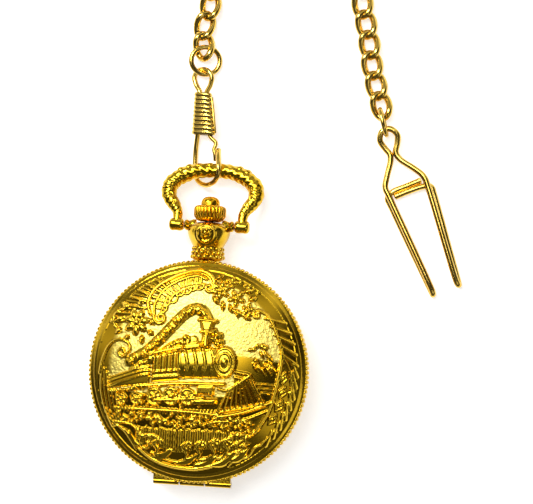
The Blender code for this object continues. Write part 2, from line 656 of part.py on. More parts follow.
def sleeve_shape(wall, longer):
    """A flat tube that widens towards the hook, rolled so that its right edge is the higher one."""
    ends = [(-3.75, 60.6 + longer, 1.9), (-3.15, 51.4 - longer, 2.65)]
    bm = bmesh.new()
    rings = []
    for x, y, half_width in ends:
        ring = []
        for n in range(24):
            angle = 2 * math.pi * n / 24
            across = (half_width - wall) * math.copysign(abs(math.cos(angle)) ** 0.7, math.cos(angle))
            up = (1.3 - wall) * math.copysign(abs(math.sin(angle)) ** 0.7, math.sin(angle))
            roll = math.radians(13)
            place = Vector((across * math.cos(roll), 0, across * math.sin(roll) + up))
            ring.append(bm.verts.new(place + Vector((x, y, 1.95))))
        rings.append(ring)
    bm.faces.new(rings[0])
    bm.faces.new(rings[1])
    for n in range(24):
        after = (n + 1) % 24
        bm.faces.new((rings[0][n], rings[0][after], rings[1][after], rings[1][n]))
    return bm


def make_jump_ring():
    x, y, z = JUMP_RING_CENTRE
    path = []
    for n in range(24):
        angle = 2 * math.pi * n / 24
        across = JUMP_RING_RADIUS * math.cos(angle)
        path.append((x + across, y + JUMP_RING_RADIUS * math.sin(angle), z - JUMP_RING_LEAN * across))
    add_object(wire(path, HOOK_WIRE, closed=True), "jump_ring", origin=JUMP_RING_PIVOT)


def make_chain():
    """The free stretches are flat tubes as wide as a link, and the put-away length is one ring."""
    watch_end = [(-4.5, 71.9), (-4.6, 74.0), (-4.2, 76.3), (-3.5, 79.0), (-3.3, 81.2), (-3.4, 83.0)]
    clip_end = [(30.0, 82.2), (30.2, 80.0), (31.0, 77.3), (32.0, 72.7), (32.8, 68.2), (33.9, 63.9)]
    clip_end += [(35.2, 60.0)]
    for name, points in (("chain_watch_end", watch_end), ("chain_clip_end", clip_end)):
        curve = bpy.data.curves.new(name, "CURVE")
        curve.dimensions = "3D"
        curve.twist_mode = "Z_UP"
        curve.bevel_depth = LINK_HEIGHT / 2 * MM
        curve.extrude = (LINK_WIDTH - LINK_HEIGHT) / 2 * MM
        curve.bevel_resolution = 2
        curve.use_fill_caps = True
        spline = curve.splines.new("POLY")
        path = smooth(points, 2)
        spline.points.add(len(path) - 1)
        for spot, (x, y) in zip(spline.points, path):
            place = Vector((x, y, CHAIN_MIDDLE_Z)) - Vector(CHAIN_PIVOT)
            spot.co = (*(place * MM), 1)
            spot.tilt = math.radians(90)
        curve.materials.append(make_material(name, GOLD, 0.25, 1.0))
        chain = bpy.data.objects.new(name, curve)
        chain.location = Vector(CHAIN_PIVOT) * MM
        bpy.context.collection.objects.link(chain)
    profile = [(COIL_INNER, 0.2), (COIL_INNER + 0.6, 0.05), (COIL_OUTER - 0.6, 0.05), (COIL_OUTER, 0.2)]
    profile += [(COIL_OUTER, LINK_HEIGHT - 0.4), (COIL_OUTER - 0.6, LINK_HEIGHT)]
    profile += [(COIL_INNER + 0.6, LINK_HEIGHT), (COIL_INNER, LINK_HEIGHT - 0.4)]
    ring = turned(profile, 32, centre=(*COIL_CENTRE, 0))
    add_object(ring, "chain_coil", roughness=0.25, origin=CHAIN_PIVOT)


def on_clip(along, across, z):
    """A place on the waistcoat clip, from its loop's top along its length and to its right."""
    dx, dy = CLIP_HEADING
    return (CLIP_TOP[0] + along * dx - across * dy, CLIP_TOP[1] + along * dy + across * dx, z)


def make_vest_clip():
    """One wire: from the crossbar down the back of a prong, up its front, round the top loop."""
    left = [(13.3, 3.3, 0.6), (13.4, 0, 0.6), (13.5, -3.2, 0.6), (14.4, -4.85, 0.6), (17, -4.75, 0.6)]
    left += [(26, -4.0, 0.6), (35.6, -3.15, 0.7), (37.3, -2.95, 1.35), (35.6, -2.8, 2.0)]
    left += [(26, -3.45, 2.2), (15, -4.3, 2.2), (12.3, -4.45, 2.2), (10.3, -3.4, 2.15)]
    loop = [(7.6, -1.6, 2.05), (5.9, -1.05, 2.0), (4.2, -1.6, 2.05), (2.5, -2.0, 2.2), (0.95, -1.25, 2.35)]
    loop += [(0.5, 0, 2.4), (0.95, 1.2, 2.35), (2.5, 1.95, 2.2), (4.2, 1.3, 2.05), (5.9, 0.3, 2.0)]
    right = [(7.8, 0.75, 2.0), (10.6, 2.8, 2.15), (12.9, 4.1, 2.2), (16, 4.15, 2.2), (26, 3.45, 2.2)]
    right += [(35.6, 2.8, 2.0), (37.3, 2.95, 1.35), (35.6, 3.15, 0.7), (26, 4.0, 0.6), (17.5, 4.75, 0.6)]
    right += [(15.4, 4.7, 0.6), (14.75, 3.2, 0.6), (14.7, 0, 0.6), (14.8, -3.4, 0.6)]
    path = [on_clip(*p) for p in smooth(left + loop + right, 2)]
    add_object(wire(path, CLIP_WIRE), "vest_clip", origin=on_clip(0.5, 0, 2.4))


def make_clip_ring():
    """A small ring that stands on edge, through the last link and the clip's loop."""
    x, y, z = CLIP_RING_CENTRE
    dx, dy = CLIP_RING_HEADING
    path = []
    for n in range(20):
        angle = 2 * math.pi * n / 20
        along = CLIP_RING_HALF[0] * math.cos(angle)
        path.append((x + along * dx, y + along * dy, z + CLIP_RING_HALF[1] * math.sin(angle)))
    add_object(wire(path, HOOK_WIRE, closed=True), "clip_ring", origin=CLIP_RING_PIVOT)


def main():
    clear_scene()
    make_back_cover()
    make_mid_case()
    make_front_cover()
    make_hinge_pin()
    make_springs()
    make_pendant()
    make_bow()
    make_crown()
    make_push_button()
    make_setting_stem()
    make_setting_lever()
    make_bezel_and_crystal()
    make_dial()
    make_hands()
    make_movement_frame()
    make_electronics()
    make_train()
    make_clasp()
    make_jump_ring()
    make_chain()
    make_vest_clip()
    make_clip_ring()


main()
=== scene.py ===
import math
import bmesh
import bpy
import numpy as np
from mathutils import Matrix, Vector


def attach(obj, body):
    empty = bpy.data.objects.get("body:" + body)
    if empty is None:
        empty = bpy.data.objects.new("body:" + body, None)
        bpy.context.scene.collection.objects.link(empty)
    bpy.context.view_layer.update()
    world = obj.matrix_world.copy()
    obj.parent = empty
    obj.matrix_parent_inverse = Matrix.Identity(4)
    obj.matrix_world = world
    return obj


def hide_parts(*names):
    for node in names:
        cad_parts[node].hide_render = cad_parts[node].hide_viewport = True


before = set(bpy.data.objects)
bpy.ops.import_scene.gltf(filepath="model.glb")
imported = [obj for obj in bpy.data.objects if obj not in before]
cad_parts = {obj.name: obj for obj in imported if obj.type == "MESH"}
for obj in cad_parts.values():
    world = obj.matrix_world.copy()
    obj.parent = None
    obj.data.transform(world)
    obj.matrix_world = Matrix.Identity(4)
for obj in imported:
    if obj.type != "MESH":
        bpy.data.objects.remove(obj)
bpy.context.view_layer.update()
mm = 0.001
rng = np.random.default_rng(7)
bpy.context.scene.view_settings.view_transform = "Standard"
print("frame loaded")


def newObject(name, data):
    made = bpy.data.objects.new(name, data)
    bpy.context.collection.objects.link(made)
    return made


# camera, looking almost straight down with a little lean so the right rim shows
shot = {"lookAt": (12.6, 26.4, 5.0), "up": (-0.056, 0.998, 0.0), "leanDeg": 9.0, "leanTo": (0.95, -0.3),
        "distance": 470.0, "width": 114.6, "sensor": 36.0}


def makeCamera():
    lean = math.radians(shot["leanDeg"])
    side = Vector((*shot["leanTo"], 0)).normalized()
    back = side * math.sin(lean) + Vector((0, 0, math.cos(lean)))
    across = Vector(shot["up"]).cross(back).normalized()
    camData = bpy.data.cameras.new("studioCamera")
    camData.sensor_width = shot["sensor"]
    camData.lens = shot["sensor"] * shot["distance"] / shot["width"]
    camData.clip_start, camData.clip_end = 0.01, 20
    cam = newObject("studioCamera", camData)
    turn = Matrix((across, back.cross(across), back)).transposed().to_4x4()
    cam.matrix_world = Matrix.Translation((Vector(shot["lookAt"]) + back * shot["distance"]) * mm) @ turn
    bpy.context.scene.camera = cam


makeCamera()

# node helpers

def fill(tree, node, sockets):
    # an input takes a value, or another node's output
    for place, value in sockets.items():
        if isinstance(value, bpy.types.NodeSocket):
            tree.links.new(value, node.inputs[place])
        else:
            node.inputs[place].default_value = value
    return node


def newNode(tree, kind, sockets=None, **options):
    node = tree.nodes.new(kind)
    for label, value in options.items():
        setattr(node, label, value)
    return fill(tree, node, sockets or {})


def noiseAt(tree, coords, featureMm, detail=3.0):
    sockets = {"Vector": coords, "Scale": 1000.0 / featureMm, "Detail": detail}
    return newNode(tree, "ShaderNodeTexNoise", sockets).outputs["Fac"]


def between(tree, source, low, high, fromLow=0.3, fromHigh=0.7):
    sockets = {"Value": source, "From Min": fromLow, "From Max": fromHigh, "To Min": low, "To Max": high}
    return newNode(tree, "ShaderNodeMapRange", sockets).outputs["Result"]


def colorsBetween(tree, source, stops):
    ramp = newNode(tree, "ShaderNodeValToRGB", {"Fac": source})
    elements = ramp.color_ramp.elements
    while len(elements) < len(stops):
        elements.new(0.5)
    for element, (place, color) in zip(elements, stops):
        element.position, element.color = place, (*color, 1)
    return ramp.outputs["Color"]


# materials, all on object coordinates in metres

def newMaterial(name):
    made = bpy.data.materials.new(name)
    made.use_nodes = True
    return made, made.node_tree, made.node_tree.nodes["Principled BSDF"]


def finishMaterial(name, deep, light, rough, metallic=1.0, patchMm=3.0, grainMm=0.25, grain=0.03, wearMm=9.0):
    made, tree, shader = newMaterial(name)
    coords = newNode(tree, "ShaderNodeTexCoord").outputs["Object"]
    bump = newNode(tree, "ShaderNodeBump", {"Strength": 0.5, "Distance": grain * mm,
                                            "Height": noiseAt(tree, coords, grainMm)})
    fill(tree, shader, {
        "Base Color": colorsBetween(tree, noiseAt(tree, coords, patchMm), ((0.3, deep), (0.7, light))),
        "Roughness": between(tree, noiseAt(tree, coords, wearMm, 5.0), *rough),
        "Normal": bump.outputs["Normal"], "Metallic": metallic})
    return made


# the dark brown here is painted shade, laid on the low, unstippled ground of the cover
plating = {"raised": (0.86, 0.54, 0.03), "hollow": (0.27, 0.145, 0.002), "frosted": (0.76, 0.62, 0.15, 1),
           "patch": (0.6, 0.55, 0.4), "patchShare": 0.18, "patchMm": 4.0, "rough": (0.13, 0.36),
           "cloud": 0.08, "cloudMm": 6.0, "stippleMm": 0.6, "stippleDepth": 0.15}


def coverGoldMaterial():
    # plating that is stippled and paler where the satin attribute is high, with painted shade darkening the low,
    # unstippled ground
    made, tree, shader = newMaterial("coverGold")
    coords = newNode(tree, "ShaderNodeTexCoord").outputs["Object"]
    satinShare = newNode(tree, "ShaderNodeAttribute", attribute_name="satin").outputs["Fac"]
    depth = newNode(tree, "ShaderNodeAttribute", attribute_name="hollow").outputs["Fac"]
    # painted shade: the low ground blends towards the dark brown
    tint = colorsBetween(tree, depth, ((0.0, plating["raised"]), (1.0, plating["hollow"])))
    patch = noiseAt(tree, coords, plating["patchMm"])
    tone = colorsBetween(tree, patch, ((0.0, plating["patch"]), (1.0, (1, 1, 1))))
    patchy = newNode(tree, "ShaderNodeMix", {"Factor": plating["patchShare"], "A": tint, "B": tone},
                     data_type="RGBA", blend_type="MULTIPLY")
    paler = {"Factor": between(tree, satinShare, 0.0, 0.8, 0.0, 1.0), "A": patchy.outputs["Result"],
             "B": plating["frosted"]}
    polish = between(tree, satinShare, *plating["rough"], 0.0, 1.0)
    cloudy = newNode(tree, "ShaderNodeMath", {0: noiseAt(tree, coords, plating["cloudMm"], 5.0),
                                              1: plating["cloud"], 2: polish}, operation="MULTIPLY_ADD")
    stipple = newNode(tree, "ShaderNodeBump", {"Distance": plating["stippleDepth"] * mm, "Strength": satinShare,
                                               "Height": noiseAt(tree, coords, plating["stippleMm"], 2.0)})
    fill(tree, shader, {
        "Base Color": newNode(tree, "ShaderNodeMix", paler, data_type="RGBA").outputs["Result"],
        "Roughness": cloudy.outputs["Value"], "Normal": stipple.outputs["Normal"], "Metallic": 1.0})
    return made


goldPolished = finishMaterial("goldPolished", (0.54, 0.32, 0.010), (0.76, 0.48, 0.035), (0.09, 0.18))
goldWire = finishMaterial("goldWire", (0.66, 0.42, 0.06), (0.84, 0.57, 0.13), (0.10, 0.20), patchMm=1.5)
goldCrown = finishMaterial("goldCrown", (0.74, 0.36, 0.008), (0.86, 0.48, 0.02), (0.14, 0.24), patchMm=2.0)
coverGold = coverGoldMaterial()
steelBright = finishMaterial("steelBright", (0.42, 0.43, 0.45), (0.60, 0.61, 0.63), (0.18, 0.34), grainMm=0.15)
movementBrass = finishMaterial("movementBrass", (0.62, 0.44, 0.16), (0.80, 0.62, 0.30), (0.22, 0.36), grainMm=0.12)
holderPlastic = finishMaterial("holderPlastic", (0.80, 0.79, 0.74), (0.90, 0.89, 0.85), (0.4, 0.55), 0.0)
boardGreen = finishMaterial("boardGreen", (0.02, 0.16, 0.06), (0.05, 0.26, 0.11), (0.35, 0.5), 0.0, patchMm=0.8)
copperWinding = finishMaterial("copperWinding", (0.50, 0.17, 0.05), (0.72, 0.30, 0.12), (0.25, 0.4), grainMm=0.08)
dialEnamel = finishMaterial("dialEnamel", (0.86, 0.84, 0.78), (0.93, 0.92, 0.88), (0.25, 0.35), 0.0, grain=0.004)
handBlack = finishMaterial("handBlack", (0.01, 0.01, 0.015), (0.03, 0.03, 0.04), (0.18, 0.3), 0.0, grain=0.004)


def glassMaterial():
    made, tree, shader = newMaterial("crystalGlass")
    coords = newNode(tree, "ShaderNodeTexCoord").outputs["Object"]
    fill(tree, shader, {"Roughness": between(tree, noiseAt(tree, coords, 8.0, 4.0), 0.01, 0.06),
                        "Base Color": (0.97, 0.99, 0.99, 1), "Transmission Weight": 1.0, "IOR": 1.2})
    return made


crystalGlass = glassMaterial()
print("materials made")

# mesh helpers, in millimetres

def faceOutward(mesh, mergeWithin=0.0):
    shape = bmesh.new()
    shape.from_mesh(mesh)
    if mergeWithin:
        bmesh.ops.remove_doubles(shape, verts=shape.verts, dist=mergeWithin)
    bmesh.ops.recalc_face_normals(shape, faces=shape.faces)
    if shape.calc_volume(signed=True) < 0:
        bmesh.ops.reverse_faces(shape, faces=shape.faces)
    shape.to_mesh(mesh)
    shape.free()


def makePiece(name, points, faces, material, body, replaced=(), sharpDeg=40.0):
    mesh = bpy.data.meshes.new(name)
    mesh.from_pydata([tuple(float(c) * mm for c in p) for p in points], [], faces)
    faceOutward(mesh, 1e-7)
    mesh.shade_smooth()
    mesh.set_sharp_from_angle(angle=math.radians(sharpDeg))
    mesh.materials.append(material)
    made = newObject(name, mesh)
    settle(made, body, replaced)
    return made


def settle(made, body, replaced=()):
    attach(made, body)
    if replaced:
        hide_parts(*replaced)


def smoothPath(points, cuts, closed=False):
    rows = np.array(points, float)
    count = len(rows)
    found = []
    for n in range(count if closed else count - 1):
        near = [rows[(n + k) % count] if closed else rows[min(max(n + k, 0), count - 1)] for k in (-1, 0, 1, 2)]
        for cut in range(cuts):
            t = cut / cuts
            found.append(near[0] * (-0.5 * t + t**2 - 0.5 * t**3) + near[1] * (1 - 2.5 * t**2 + 1.5 * t**3)
                         + near[2] * (0.5 * t + 2 * t**2 - 1.5 * t**3) + near[3] * (-0.5 * t**2 + 0.5 * t**3))
    if not closed:
        found.append(rows[-1])
    return np.array(found)


def gridFaces(rows, columns, closeRows=False):
    faces = []
    for n in range(rows if closeRows else rows - 1):
        for k in range(columns):
            a, b = n * columns, (n + 1) % rows * columns
            faces.append((a + k, a + (k + 1) % columns, b + (k + 1) % columns, b + k))
    return faces


def wireMesh(path, radius, sides=16, closed=False, swell=None):
    # round wire with domed ends; swell(n, count, angles) scales the section
    spots = np.array([p[:3] for p in path], float)
    radii = np.array([p[3] if len(p) > 3 else radius for p in path], float)
    if not closed:
        first, last = spots[1] - spots[0], spots[-1] - spots[-2]
        first, last = first / np.linalg.norm(first), last / np.linalg.norm(last)
        heads = [spots[0] - first * radii[0] * k for k in (0.0, -0.35)]
        tails = [spots[-1] - last * radii[-1] * k for k in (0.35, 0.0)]
        spots = np.vstack([heads[0], spots[0] + first * radii[0] * 0.3, spots[1:-1], tails[0], tails[1]])
        radii = np.concatenate([[radii[0] * 0.6, radii[0]], radii[1:-1], [radii[-1], radii[-1] * 0.6]])
    count = len(spots)
    angles = np.arange(sides) * 2 * math.pi / sides
    side = None
    rings = []
    for n in range(count):
        before = spots[n - 1] if closed or n else spots[n]
        after = spots[(n + 1) % count] if closed or n + 1 < count else spots[n]
        tangent = (after - before) / np.linalg.norm(after - before)
        if side is None:
            side = np.array(Vector(tangent).orthogonal().normalized())
        side = side - tangent * side.dot(tangent)
        side = side / np.linalg.norm(side)
        other = np.cross(tangent, side)
        reach = radii[n] * (swell(n, count, angles) if swell else np.ones(sides))
        rings.append(spots[n] + reach[:, None] * (np.cos(angles)[:, None] * side + np.sin(angles)[:, None] * other))
    points = np.vstack(rings)
    faces = gridFaces(count, sides)
    if closed:
        shift = min(range(sides), key=lambda k: np.linalg.norm(rings[0][k] - rings[-1][0]))
        last = (count - 1) * sides
        for k in range(sides):
            faces.append((last + k, last + (k + 1) % sides, (k + 1 + shift) % sides, (k + shift) % sides))
    else:
        faces.append(tuple(range(sides))[::-1])
        faces.append(tuple((count - 1) * sides + k for k in range(sides)))
    return points, faces


def joined(*shapes):
    points, faces = [], []
    for somePoints, someFaces in shapes:
        base = sum(len(p) for p in points)
        points.append(np.asarray(somePoints, float))
        faces += [tuple(base + k for k in face) for face in someFaces]
    return np.vstack(points), faces


def latheMesh(profile, steps, along="z", centre=(0, 0, 0), ripple=None):
    # ripple(row, angles) returns what is added to the radius
    angles = np.arange(steps) * 2 * math.pi / steps
    points, rows = [], []
    for number, (radius, height) in enumerate(profile):
        if radius <= 0:
            rows.append([len(points)] * steps)
            points.append((0, 0, height) if along == "z" else (0, height, 0))
            continue
        reach = radius + (ripple(number, angles) if ripple else 0 * angles)
        rows.append(list(range(len(points), len(points) + steps)))
        for r, angle in zip(reach, angles):
            a, b = r * math.cos(angle), r * math.sin(angle)
            points.append((a, b, height) if along == "z" else (b, height, a))
    faces = []
    loops = list(zip(rows, rows[1:]))
    if profile[0][0] > 0:
        loops.append((rows[-1], rows[0]))
    for low, high in loops:
        for k in range(steps):
            after = (k + 1) % steps
            corners = list(dict.fromkeys((low[k], low[after], high[after], high[k])))
            if len(corners) > 2:
                faces.append(tuple(corners))
    return np.array(points, float) + np.array(centre, float), faces


def ballMesh(centre, radius, squash=(1, 1, 1), rings=6, steps=10):
    profile = []
    for n in range(rings + 1):
        angle = math.pi * n / rings
        profile.append((radius * math.sin(angle) if 0 < n < rings else 0, -radius * math.cos(angle)))
    points, faces = latheMesh(profile, steps)
    return points * np.array(squash) + np.array(centre), faces


# the chain first: one route for the whole length
chain = {"pitch": 4.5, "wire": 1.5, "halfLong": 2.72, "halfWide": 1.74, "twist": 0.27, "middleZ": 1.3,
         "coilCentre": (13.4, 108.0), "outerTurn": 24.2, "innerTurn": 16.5, "turns": 1.5, "turnPoints": 16,
         "humpRise": 2.4, "linkSteps": 28, "wireSides": 10}


def chainRoute():
    z = chain["middleZ"]
    start = [(-4.3, 70.9), (-4.6, 74.0), (-4.2, 76.3), (-3.5, 79.0), (-3.3, 81.2), (-3.4, 83.0), (-5.6, 89.5),
             (-9.0, 97.0)]
    route = [(x, y, z) for x, y in start]
    steps = int(chain["turnPoints"] * chain["turns"])
    for n in range(steps + 1):
        angle = math.pi - 2 * math.pi * chain["turns"] * n / steps
        radius = chain["outerTurn"] + (chain["innerTurn"] - chain["outerTurn"]) * n / steps
        route.append((chain["coilCentre"][0] + radius * math.cos(angle),
                      chain["coilCentre"][1] + radius * math.sin(angle), z))
    back = [(30.7, 100.5, 0.35), (30.6, 96.2, 0.9), (30.3, 91.8, 1.0), (30.0, 87.4, 0.7), (29.9, 84.0, 0.15)]
    route += [(x, y, z + chain["humpRise"] * rise) for x, y, rise in back]
    end = [(30.2, 80.0), (31.0, 77.3), (32.0, 72.7), (32.8, 68.2), (33.9, 63.9), (35.3, 59.3)]
    return smoothPath(route + [(x, y, z) for x, y in end], 4)


def newTree(name, inputs):
    # an empty tree with named inputs, each a label and a kind of socket
    tree = bpy.data.node_groups.new(name, "GeometryNodeTree")
    for label, kind in (("Geometry", "Geometry"), *inputs, ("Finish", "Material")):
        tree.interface.new_socket(label, in_out="INPUT", socket_type="NodeSocket" + kind)
    tree.interface.new_socket("Geometry", in_out="OUTPUT", socket_type="NodeSocketGeometry")
    return tree, newNode(tree, "NodeGroupInput").outputs


def endTree(tree, given, geometry):
    coat = newNode(tree, "GeometryNodeSetMaterial", {"Geometry": geometry, "Material": given["Finish"]})
    newNode(tree, "NodeGroupOutput", {"Geometry": coat.outputs["Geometry"]})
    return tree


def linkTree():
    # a curb link with a saddle twist, one on each point of the route
    tree, given = newTree("curbLinks", (("Links", "Int"), ("Half Long", "Float"), ("Half Wide", "Float"),
                                        ("Twist", "Float"), ("Wire", "Float")))

    def times(a, b):
        return newNode(tree, "ShaderNodeMath", {0: a, 1: b}, operation="MULTIPLY").outputs["Value"]

    oval = newNode(tree, "GeometryNodeCurvePrimitiveCircle", {"Resolution": chain["linkSteps"], "Radius": 1.0})
    place = newNode(tree, "GeometryNodeInputPosition").outputs["Position"]
    parts = newNode(tree, "ShaderNodeSeparateXYZ", {"Vector": place}).outputs
    x, y = times(parts["X"], given["Half Long"]), times(parts["Y"], given["Half Wide"])
    spot = newNode(tree, "ShaderNodeCombineXYZ", {"X": x, "Y": y, "Z": times(times(x, y), given["Twist"])})
    shaped = newNode(tree, "GeometryNodeSetPosition", {"Geometry": oval.outputs["Curve"],
                                                       "Position": spot.outputs["Vector"]})
    section = newNode(tree, "GeometryNodeCurvePrimitiveCircle", {"Resolution": chain["wireSides"],
                                                                 "Radius": times(given["Wire"], 0.5)})
    link = newNode(tree, "GeometryNodeCurveToMesh", {"Curve": shaped.outputs["Geometry"],
                                                     "Profile Curve": section.outputs["Curve"]})
    spots = newNode(tree, "GeometryNodeCurveToPoints", {"Curve": given["Geometry"], "Count": given["Links"]})
    turn = newNode(tree, "FunctionNodeAlignRotationToVector", {"Vector": spots.outputs["Tangent"]},
                   axis="X", pivot_axis="AUTO")
    placed = newNode(tree, "GeometryNodeInstanceOnPoints", {
        "Points": spots.outputs["Points"], "Instance": link.outputs["Mesh"], "Rotation": turn.outputs["Rotation"]})
    real = newNode(tree, "GeometryNodeRealizeInstances", {"Geometry": placed.outputs["Instances"]})
    return endTree(tree, given, real.outputs["Geometry"])


def grown(name, carrier, tree, values, material):
    # runs a tree on a carrier and keeps the result as a plain mesh in metres
    modifier = carrier.modifiers.new("grow", "NODES")
    modifier.node_group = tree
    for item in tree.interface.items_tree:
        if item.in_out == "INPUT" and item.name in values:
            modifier[item.identifier] = values[item.name]
    bpy.context.view_layer.update()
    seen = carrier.evaluated_get(bpy.context.evaluated_depsgraph_get())
    mesh = bpy.data.meshes.new_from_object(seen)
    bpy.data.objects.remove(carrier)
    mesh.name = name
    mesh.shade_smooth()
    if not mesh.materials:
        mesh.materials.append(material)
    return newObject(name, mesh)


def makeChain():
    route = chainRoute()
    length = float(np.linalg.norm(np.diff(route, axis=0), axis=1).sum())
    curve = bpy.data.curves.new("chainRoute", "CURVE")
    curve.dimensions = "3D"
    spline = curve.splines.new("POLY")
    spline.points.add(len(route) - 1)
    for point, spot in zip(spline.points, route):
        point.co = (*(spot * mm), 1)
    carrier = newObject("chainRoute", curve)
    values = {"Links": round(length / chain["pitch"]) + 1, "Half Long": chain["halfLong"] * mm,
              "Half Wide": chain["halfWide"] * mm, "Twist": chain["twist"] / mm, "Wire": chain["wire"] * mm,
              "Finish": goldWire}
    made = grown("curbChain", carrier, linkTree(), values, goldWire)
    settle(made, "chain", ("chain_watch_end", "chain_coil", "chain_clip_end"))
    print("chain length mm", round(length, 1), "links", values["Links"])
    return made, route


chainPiece, chainPath = makeChain()

# small ring on the clasp, the standing ring and the clip
rings = {"jumpCentre": (-3.7, 67.7, 1.55), "jumpRadius": 3.0, "jumpLean": 0.32, "wire": 0.5,
         "clipCentre": (36.05, 55.65, 2.4), "clipHeading": (0.28, -0.96), "clipHalf": (2.9, 1.85)}


def makeJumpRing():
    x, y, z = rings["jumpCentre"]
    path = []
    for n in range(56):
        angle = 2 * math.pi * n / 56
        across = rings["jumpRadius"] * math.cos(angle)
        path.append((x + across, y + rings["jumpRadius"] * math.sin(angle), z - rings["jumpLean"] * across))
    points, faces = wireMesh(path, rings["wire"] * 1.12, 16, True)
    return makePiece("claspRing", points, faces, goldWire, "jump_ring", ("jump_ring",))


def makeClipRing():
    x, y, z = rings["clipCentre"]
    dx, dy = rings["clipHeading"]
    path = []
    for n in range(48):
        angle = 2 * math.pi * n / 48
        along = rings["clipHalf"][0] * math.cos(angle)
        path.append((x + along * dx, y + along * dy, z + rings["clipHalf"][1] * math.sin(angle)))
    points, faces = wireMesh(path, rings["wire"], 16, True)
    return makePiece("clipRing", points, faces, goldWire, "clip_ring", ("clip_ring",))


clip = {"top": (36.4, 54.6), "heading": (0.397, -0.918), "wire": 0.68}


def makeVestClip():
    dx, dy = clip["heading"]
    left = [(13.3, 3.3, 0.6), (13.4, 0, 0.6), (13.5, -3.2, 0.6), (14.4, -4.85, 0.6), (17, -4.75, 0.6),
            (26, -4.0, 0.6), (35.6, -3.15, 0.7), (37.3, -2.95, 1.35), (35.6, -2.8, 2.0), (26, -3.45, 2.2),
            (15, -4.3, 2.2), (12.3, -4.45, 2.2), (10.3, -3.4, 2.15)]
    loop = [(7.6, -1.6, 2.05), (5.9, -1.05, 2.0), (4.2, -1.6, 2.05), (2.5, -2.0, 2.2), (0.95, -1.25, 2.35),
            (0.5, 0, 2.4), (0.95, 1.2, 2.35), (2.5, 1.95, 2.2), (4.2, 1.3, 2.05), (5.9, 0.3, 2.0)]
    right = [(7.8, 0.75, 2.0), (10.6, 2.8, 2.15), (12.9, 4.1, 2.2), (16, 4.15, 2.2), (26, 3.45, 2.2),
             (35.6, 2.8, 2.0), (37.3, 2.95, 1.35), (35.6, 3.15, 0.7), (26, 4.0, 0.6), (17.5, 4.75, 0.6),
             (15.4, 4.7, 0.65), (14.75, 3.2, 0.75), (14.6, 0, 0.75), (14.7, -3.4, 0.75)]
    path = [(clip["top"][0] + a * dx - c * dy, clip["top"][1] + a * dy + c * dx, z)
            for a, c, z in smoothPath(left + loop + right, 6)]
    points, faces = wireMesh(path, clip["wire"], 16)
    return makePiece("waistcoatClip", points, faces, goldWire, "clip", ("vest_clip",))


clasp = {"hookWire": 0.57, "gateWire": 0.47, "sleeveWall": 0.42, "ridges": 10, "ridgeDepth": 0.16, "rollDeg": 13.0}


def makeClasp():
    hook = [(0.5, 48.3, 2.75), (0.8, 46.6, 4.3), (1.2, 44.4, 5.5), (1.15, 42.6, 5.35), (0.2, 41.1, 4.4),
            (-1.7, 40.4, 2.9), (-3.6, 41.1, 1.5), (-4.7, 42.7, 0.72), (-4.9, 44.8, 0.6), (-4.9, 48.2, 0.75),
            (-4.55, 51.6, 1.45), (-4.4, 56.0, 1.6)]
    loop = [(-4.45, 60.3, 1.5), (-5.6, 62.4, 0.9), (-6.15, 64.1, 0.66), (-5.5, 65.4, 0.9), (-4.1, 65.8, 1.6),
            (-2.7, 65.3, 2.3), (-1.95, 64.0, 2.5), (-2.2, 62.3, 2.35), (-2.95, 60.5, 2.15), (-2.8, 57.4, 2.1)]
    points, faces = wireMesh(smoothPath(hook + loop, 7), clasp["hookWire"], 16)
    hookPiece = makePiece("snapHook", points, faces, goldWire, "clasp", ("clasp_hook",))
    gate = [(-2.6, 56.2, 2.0), (-1.9, 51.6, 1.95), (-0.35, 49.8, 2.05), (-0.62, 48.3, 2.1), (-0.35, 47.2, 2.1),
            (-0.2, 45.75, 1.95)]
    points, faces = wireMesh(smoothPath(gate, 8), clasp["gateWire"], 14)
    gatePiece = makePiece("hookGate", points, faces, goldWire, "gate", ("clasp_gate",))
    # flat wire wrapped round the hook: rounded ridges on a tapering, slightly rolled sleeve
    rows, sides = clasp["ridges"] * 6, 44
    roll = math.radians(clasp["rollDeg"])

    def wrapRing(share, inset):
        depth = clasp["ridgeDepth"] * abs(math.sin(math.pi * clasp["ridges"] * share)) if not inset else -inset
        x, y, half = -3.75 + 0.6 * share, 60.6 - 9.2 * share, 1.9 + 0.75 * share
        ring = []
        for k in range(sides):
            c, s = math.cos(2 * math.pi * k / sides), math.sin(2 * math.pi * k / sides)
            across = (half + depth) * math.copysign(abs(c) ** 0.7, c)
            up = (1.2 + depth) * math.copysign(abs(s) ** 0.7, s)
            ring.append((x + across * math.cos(roll), y - 0.5 * across * 0.06, 1.95 + across * math.sin(roll) + up))
        return ring

    outer = [wrapRing(n / rows, 0) for n in range(rows + 1)]
    inner = [wrapRing(share, clasp["sleeveWall"]) for share in (1.0, 0.0)]
    points = [p for ring in outer + inner for p in ring]
    sleeve = makePiece("hookWrap", points, gridFaces(len(outer) + 2, sides, True), goldWire, "clasp",
                       ("clasp_sleeve",), sharpDeg=55)
    tab = smoothPath([(-1.7, 59.6, 2.75), (-1.2, 57.0, 2.95), (-0.75, 54.0, 3.05), (-0.45, 51.7, 2.95)], 6)
    points, faces = wireMesh(tab, 0.34, 12)
    makePiece("wrapEnd", points, faces, goldWire, "clasp")
    return hookPiece, gatePiece, sleeve


onChain = [makeJumpRing(), *makeClasp(), makeClipRing(), makeVestClip()]
print("chain, clasp and clip made")

# the embossed cover: a height field on the dome
cover = {"radius": 22.45, "cells": 286, "skin": 0.3, "lift": 0.03, "amount": 1.0}
domeProfile = smoothPath([(0, 14.45), (6, 14.3), (11.5, 13.9), (16.5, 13.1), (20.5, 12.0), (22.6, 11.0)], 12)


def domeHeight(radius):
    return np.interp(radius, domeProfile[:, 0], domeProfile[:, 1])


side = np.linspace(-1, 1, cover["cells"] + 1)
gridA, gridB = np.meshgrid(side, side)
